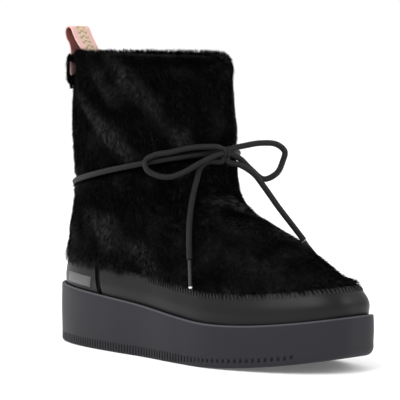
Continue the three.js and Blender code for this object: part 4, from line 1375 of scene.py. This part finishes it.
# Insole: a soft bed with a low crown, inside the lining
insoleSet = {
    "thickness": 4,
    "columns": 120,
    "section": [(1, 0), (0, 0), (0, 0.5), (0.03, 0.85), (0.1, 1), (0.3, 1.0), (0.6, 0.95), (1, 0.92)],
}
feltFinish = {
    "roughness": 0.9, "specular": 0.15, "pores": 900, "clouds": 200, "share": 0.6,
    "dark": (0.008, 0.008, 0.009), "light": (0.02, 0.02, 0.021), "gloss": (0.85, 0.95), "relief": 0.8,
}
insoleFelt = grainMaterial("insoleFelt", feltFinish)


def buildInsole():
    turns = turnsRound(insoleSet["columns"])
    edge, mirrored = (upperPoint(t, 0.0, -boot["wall"] - 3 * boot["clearance"])[:, :2] for t in (turns, -turns))
    grid = []
    for share, height in insoleSet["section"]:
        plan = mix(edge, midline(edge, mirrored), share)
        z = seatHeight(plan[:, 0]) + boot["clearance"] + insoleSet["thickness"] * height
        grid.append(np.column_stack([plan, z]))
    faces = gridFaces(len(grid), len(turns), joinColumns=True)
    piece = meshPiece("insoleBed", grid, [faces], insoleFelt)
    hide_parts("insole")


buildInsole()
print("boot: label and insole built")

# Lining: short dark curls on the inside of the upper and over the collar
curlLook = {
    "count": 6500,
    "radius": 1.1,
    "rise": 2.2,
    "turns": 1.3,
    "width": 0.7,
    "sunk": 0.3,
    "stations": 8,
    "columns": 300,
    "rows": ((30, 8, 60), 64),  # the shell's rows and how many of the last carry curls
}
curlFinish = {
    "roughness": 0.75, "specular": 0.15, "spread": 0.9,
    # the root colour is darker than the tip colour: painted shade at the roots
    "root": (0.006, 0.006, 0.0065), "tip": (0.045, 0.045, 0.048),
}
curlFibre = fibreMaterial("curlFibre", curlFinish)


# Each curl is a narrow strip on a helix whose axis leans from the surface
def growCurls():
    look, count, stations = curlLook, curlLook["count"], curlLook["stations"]
    counts, last = look["rows"]
    rows = shellRows(*counts)[-last:]
    field = surfaceField(np.linspace(0, fullTurn, look["columns"]), rows)
    weight = ease(rows[:, 0], 0.3, 0.8)[:, None] + 0.15 + 0 * field["area"]
    draws = np.random.default_rng(7)
    points, normal, down = (v[:, None] for v in throwRoots(field, weight, count, draws)[:3])
    t = np.linspace(0, 1, stations)[None, :, None]
    spin = draws.uniform(0, fullTurn, count)[:, None, None]
    spin = spin + t * fullTurn * look["turns"] * draws.choice((-1, 1), count)[:, None, None]
    size = draws.uniform(0.6, 1.2, count)[:, None, None]
    arm = (down * np.cos(spin) + np.cross(down, normal) * np.sin(spin)) * look["radius"] * size * (1 - 0.4 * t)
    path = points + normal * (look["rise"] * t * size - look["sunk"]) + arm
    wide = normal * look["width"] / 2 * (1 - 0.5 * t)
    strip = np.stack([path - wide, path + wide], 2)
    first = 2 * stations * np.arange(count)[:, None, None] + 2 * np.arange(stations - 1)[None, :, None]
    faces = (first + np.array([0, 1, 3, 2])).reshape(-1, 4)
    along = np.tile(np.repeat(np.linspace(0, 1, stations), 2), count)
    toneAndSheen = np.repeat(np.clip(draws.normal(0.5, 0.25, count), 0, 1), 2 * stations)
    meshPiece("liningCurls", strip, [faces], curlFibre, {"along": along, "toneAndSheen": toneAndSheen})


growCurls()
print("boot: lining built")

# Whip stitches over the rand's top edge, from side to side round the toe
stitchSet = {
    "pitch": 2.9,
    "from": 118,
    "radius": 0.56,
    "low": 0.21,
    "high": 0.27,
    "slant": 0.35,
    "arch": 0.5,
    "sunk": 0.1,
    "stations": 7,
    "sides": 6,
}
stitchFinish = {
    # the thread is drawn dark in its grooves and light on its crowns: painted shade and painted highlight
    "roughness": 0.5, "specular": 0.2, "dark": (0.007, 0.007, 0.008), "light": (0.02, 0.02, 0.022),
    "around": 3.0, "along": 1.5, "relief": 0.05,
}
stitchThread = yarnMaterial("stitchThread", stitchFinish)


def buildStitches():
    first = turnAtX(boot["randLevel"], stitchSet["from"])
    fine = np.linspace(first, fullTurn - first, 3000)
    run = wayAlong(upperPoint(fine, boot["randLevel"], 0.0))
    count = int(run[-1] / stitchSet["pitch"])
    at = (np.arange(count) + 0.5) * run[-1] / count
    lean = np.gradient(fine, run)[np.searchsorted(run, at).clip(0, len(run) - 1)] * stitchSet["slant"]
    s = np.linspace(0, 1, stitchSet["stations"])
    level = mix(stitchSet["low"], stitchSet["high"], s)
    out = -boot["randSunk"] + stitchSet["arch"] * np.sin(math.pi * s) - stitchSet["sunk"]
    turn = np.interp(at, run, fine)[:, None] + lean[:, None] * (s - 0.5) * 2
    path = upperPoint(turn, level, out)
    tangent = unit(np.gradient(path, axis=1))
    one = unit(np.cross(tangent, upperPoint(turn, level, out + 1) - path))
    two = np.cross(tangent, one)
    angle = turnsRound(stitchSet["sides"])
    radius = stitchSet["radius"] * np.sqrt(np.clip(1 - (2 * s - 1) ** 4, 0.05, 1))[None, :, None, None]
    ring = one[:, :, None] * np.cos(angle)[:, None] + two[:, :, None] * np.sin(angle)[:, None]
    each = len(s) * len(angle) * np.arange(count)[:, None, None]
    wall = gridFaces(len(s), len(angle), joinColumns=True)
    cap = np.arange(len(angle))
    caps = np.array([cap[::-1], cap + wall.max() + 1 - len(angle)])
    faces = [(each + wall).reshape(-1, 4), (each + caps).reshape(-1, len(angle))]
    uv = tubeUv(angle, 5 * s)
    meshPiece("randStitches", path[:, :, None] + ring * radius, faces, stitchThread,
              uv=np.broadcast_to(uv, (count, *uv.shape)))
    print("boot:", count, "stitches")


buildStitches()

# Studio: a pale floor, a bright room and soft lights
studio = {
    "floor": {"color": (0.93, 0.93, 0.93), "roughness": 0.7, "specular": 0.2},
    "floorGlow": 0.12,
    "floorReach": 6,
    "room": (1.0, 1.0, 1.0),
    "roomStrength": 1.02,
    "lamps": [  # place, aim, size and watts
        ((0.5, -1.6, 1.5), (0.1, 0, 0.1), 1.2, 26),
        ((1.6, 0.9, 1.2), (0.1, 0, 0.1), 1.0, 12),
        ((-1.2, -0.6, 1.4), (0.1, 0, 0.15), 1.0, 14),
    ],
}


def buildStudio():
    material, _, shader = newMaterial("paleFloor", studio["floor"])
    shader.inputs["Emission Color"].default_value = (1, 1, 1, 1)
    shader.inputs["Emission Strength"].default_value = studio["floorGlow"]
    mesh = bpy.data.meshes.new("floor")
    reach = studio["floorReach"]
    corners = [(-reach, -reach, 0), (reach, -reach, 0), (reach, reach, 0), (-reach, reach, 0)]
    mesh.from_pydata(corners, [], [(0, 1, 2, 3)])
    mesh.materials.append(material)
    floor = bpy.data.objects.new("floor", mesh)
    bpy.context.collection.objects.link(floor)
    world = bpy.data.worlds.new("room")
    world.use_nodes = True
    background = world.node_tree.nodes["Background"].inputs
    background["Color"].default_value = (*studio["room"], 1)
    background["Strength"].default_value = studio["roomStrength"]
    bpy.context.scene.world = world
    for i, (place, aim, size, watts) in enumerate(studio["lamps"]):
        data = bpy.data.lights.new(f"lamp{i}", "AREA")
        data.size = size
        data.energy = watts
        lamp = bpy.data.objects.new(f"lamp{i}", data)
        lamp.location = place
        lamp.rotation_euler = turnedTo(place, aim)
        bpy.context.collection.objects.link(lamp)


buildStudio()
print("boot: studio ready")
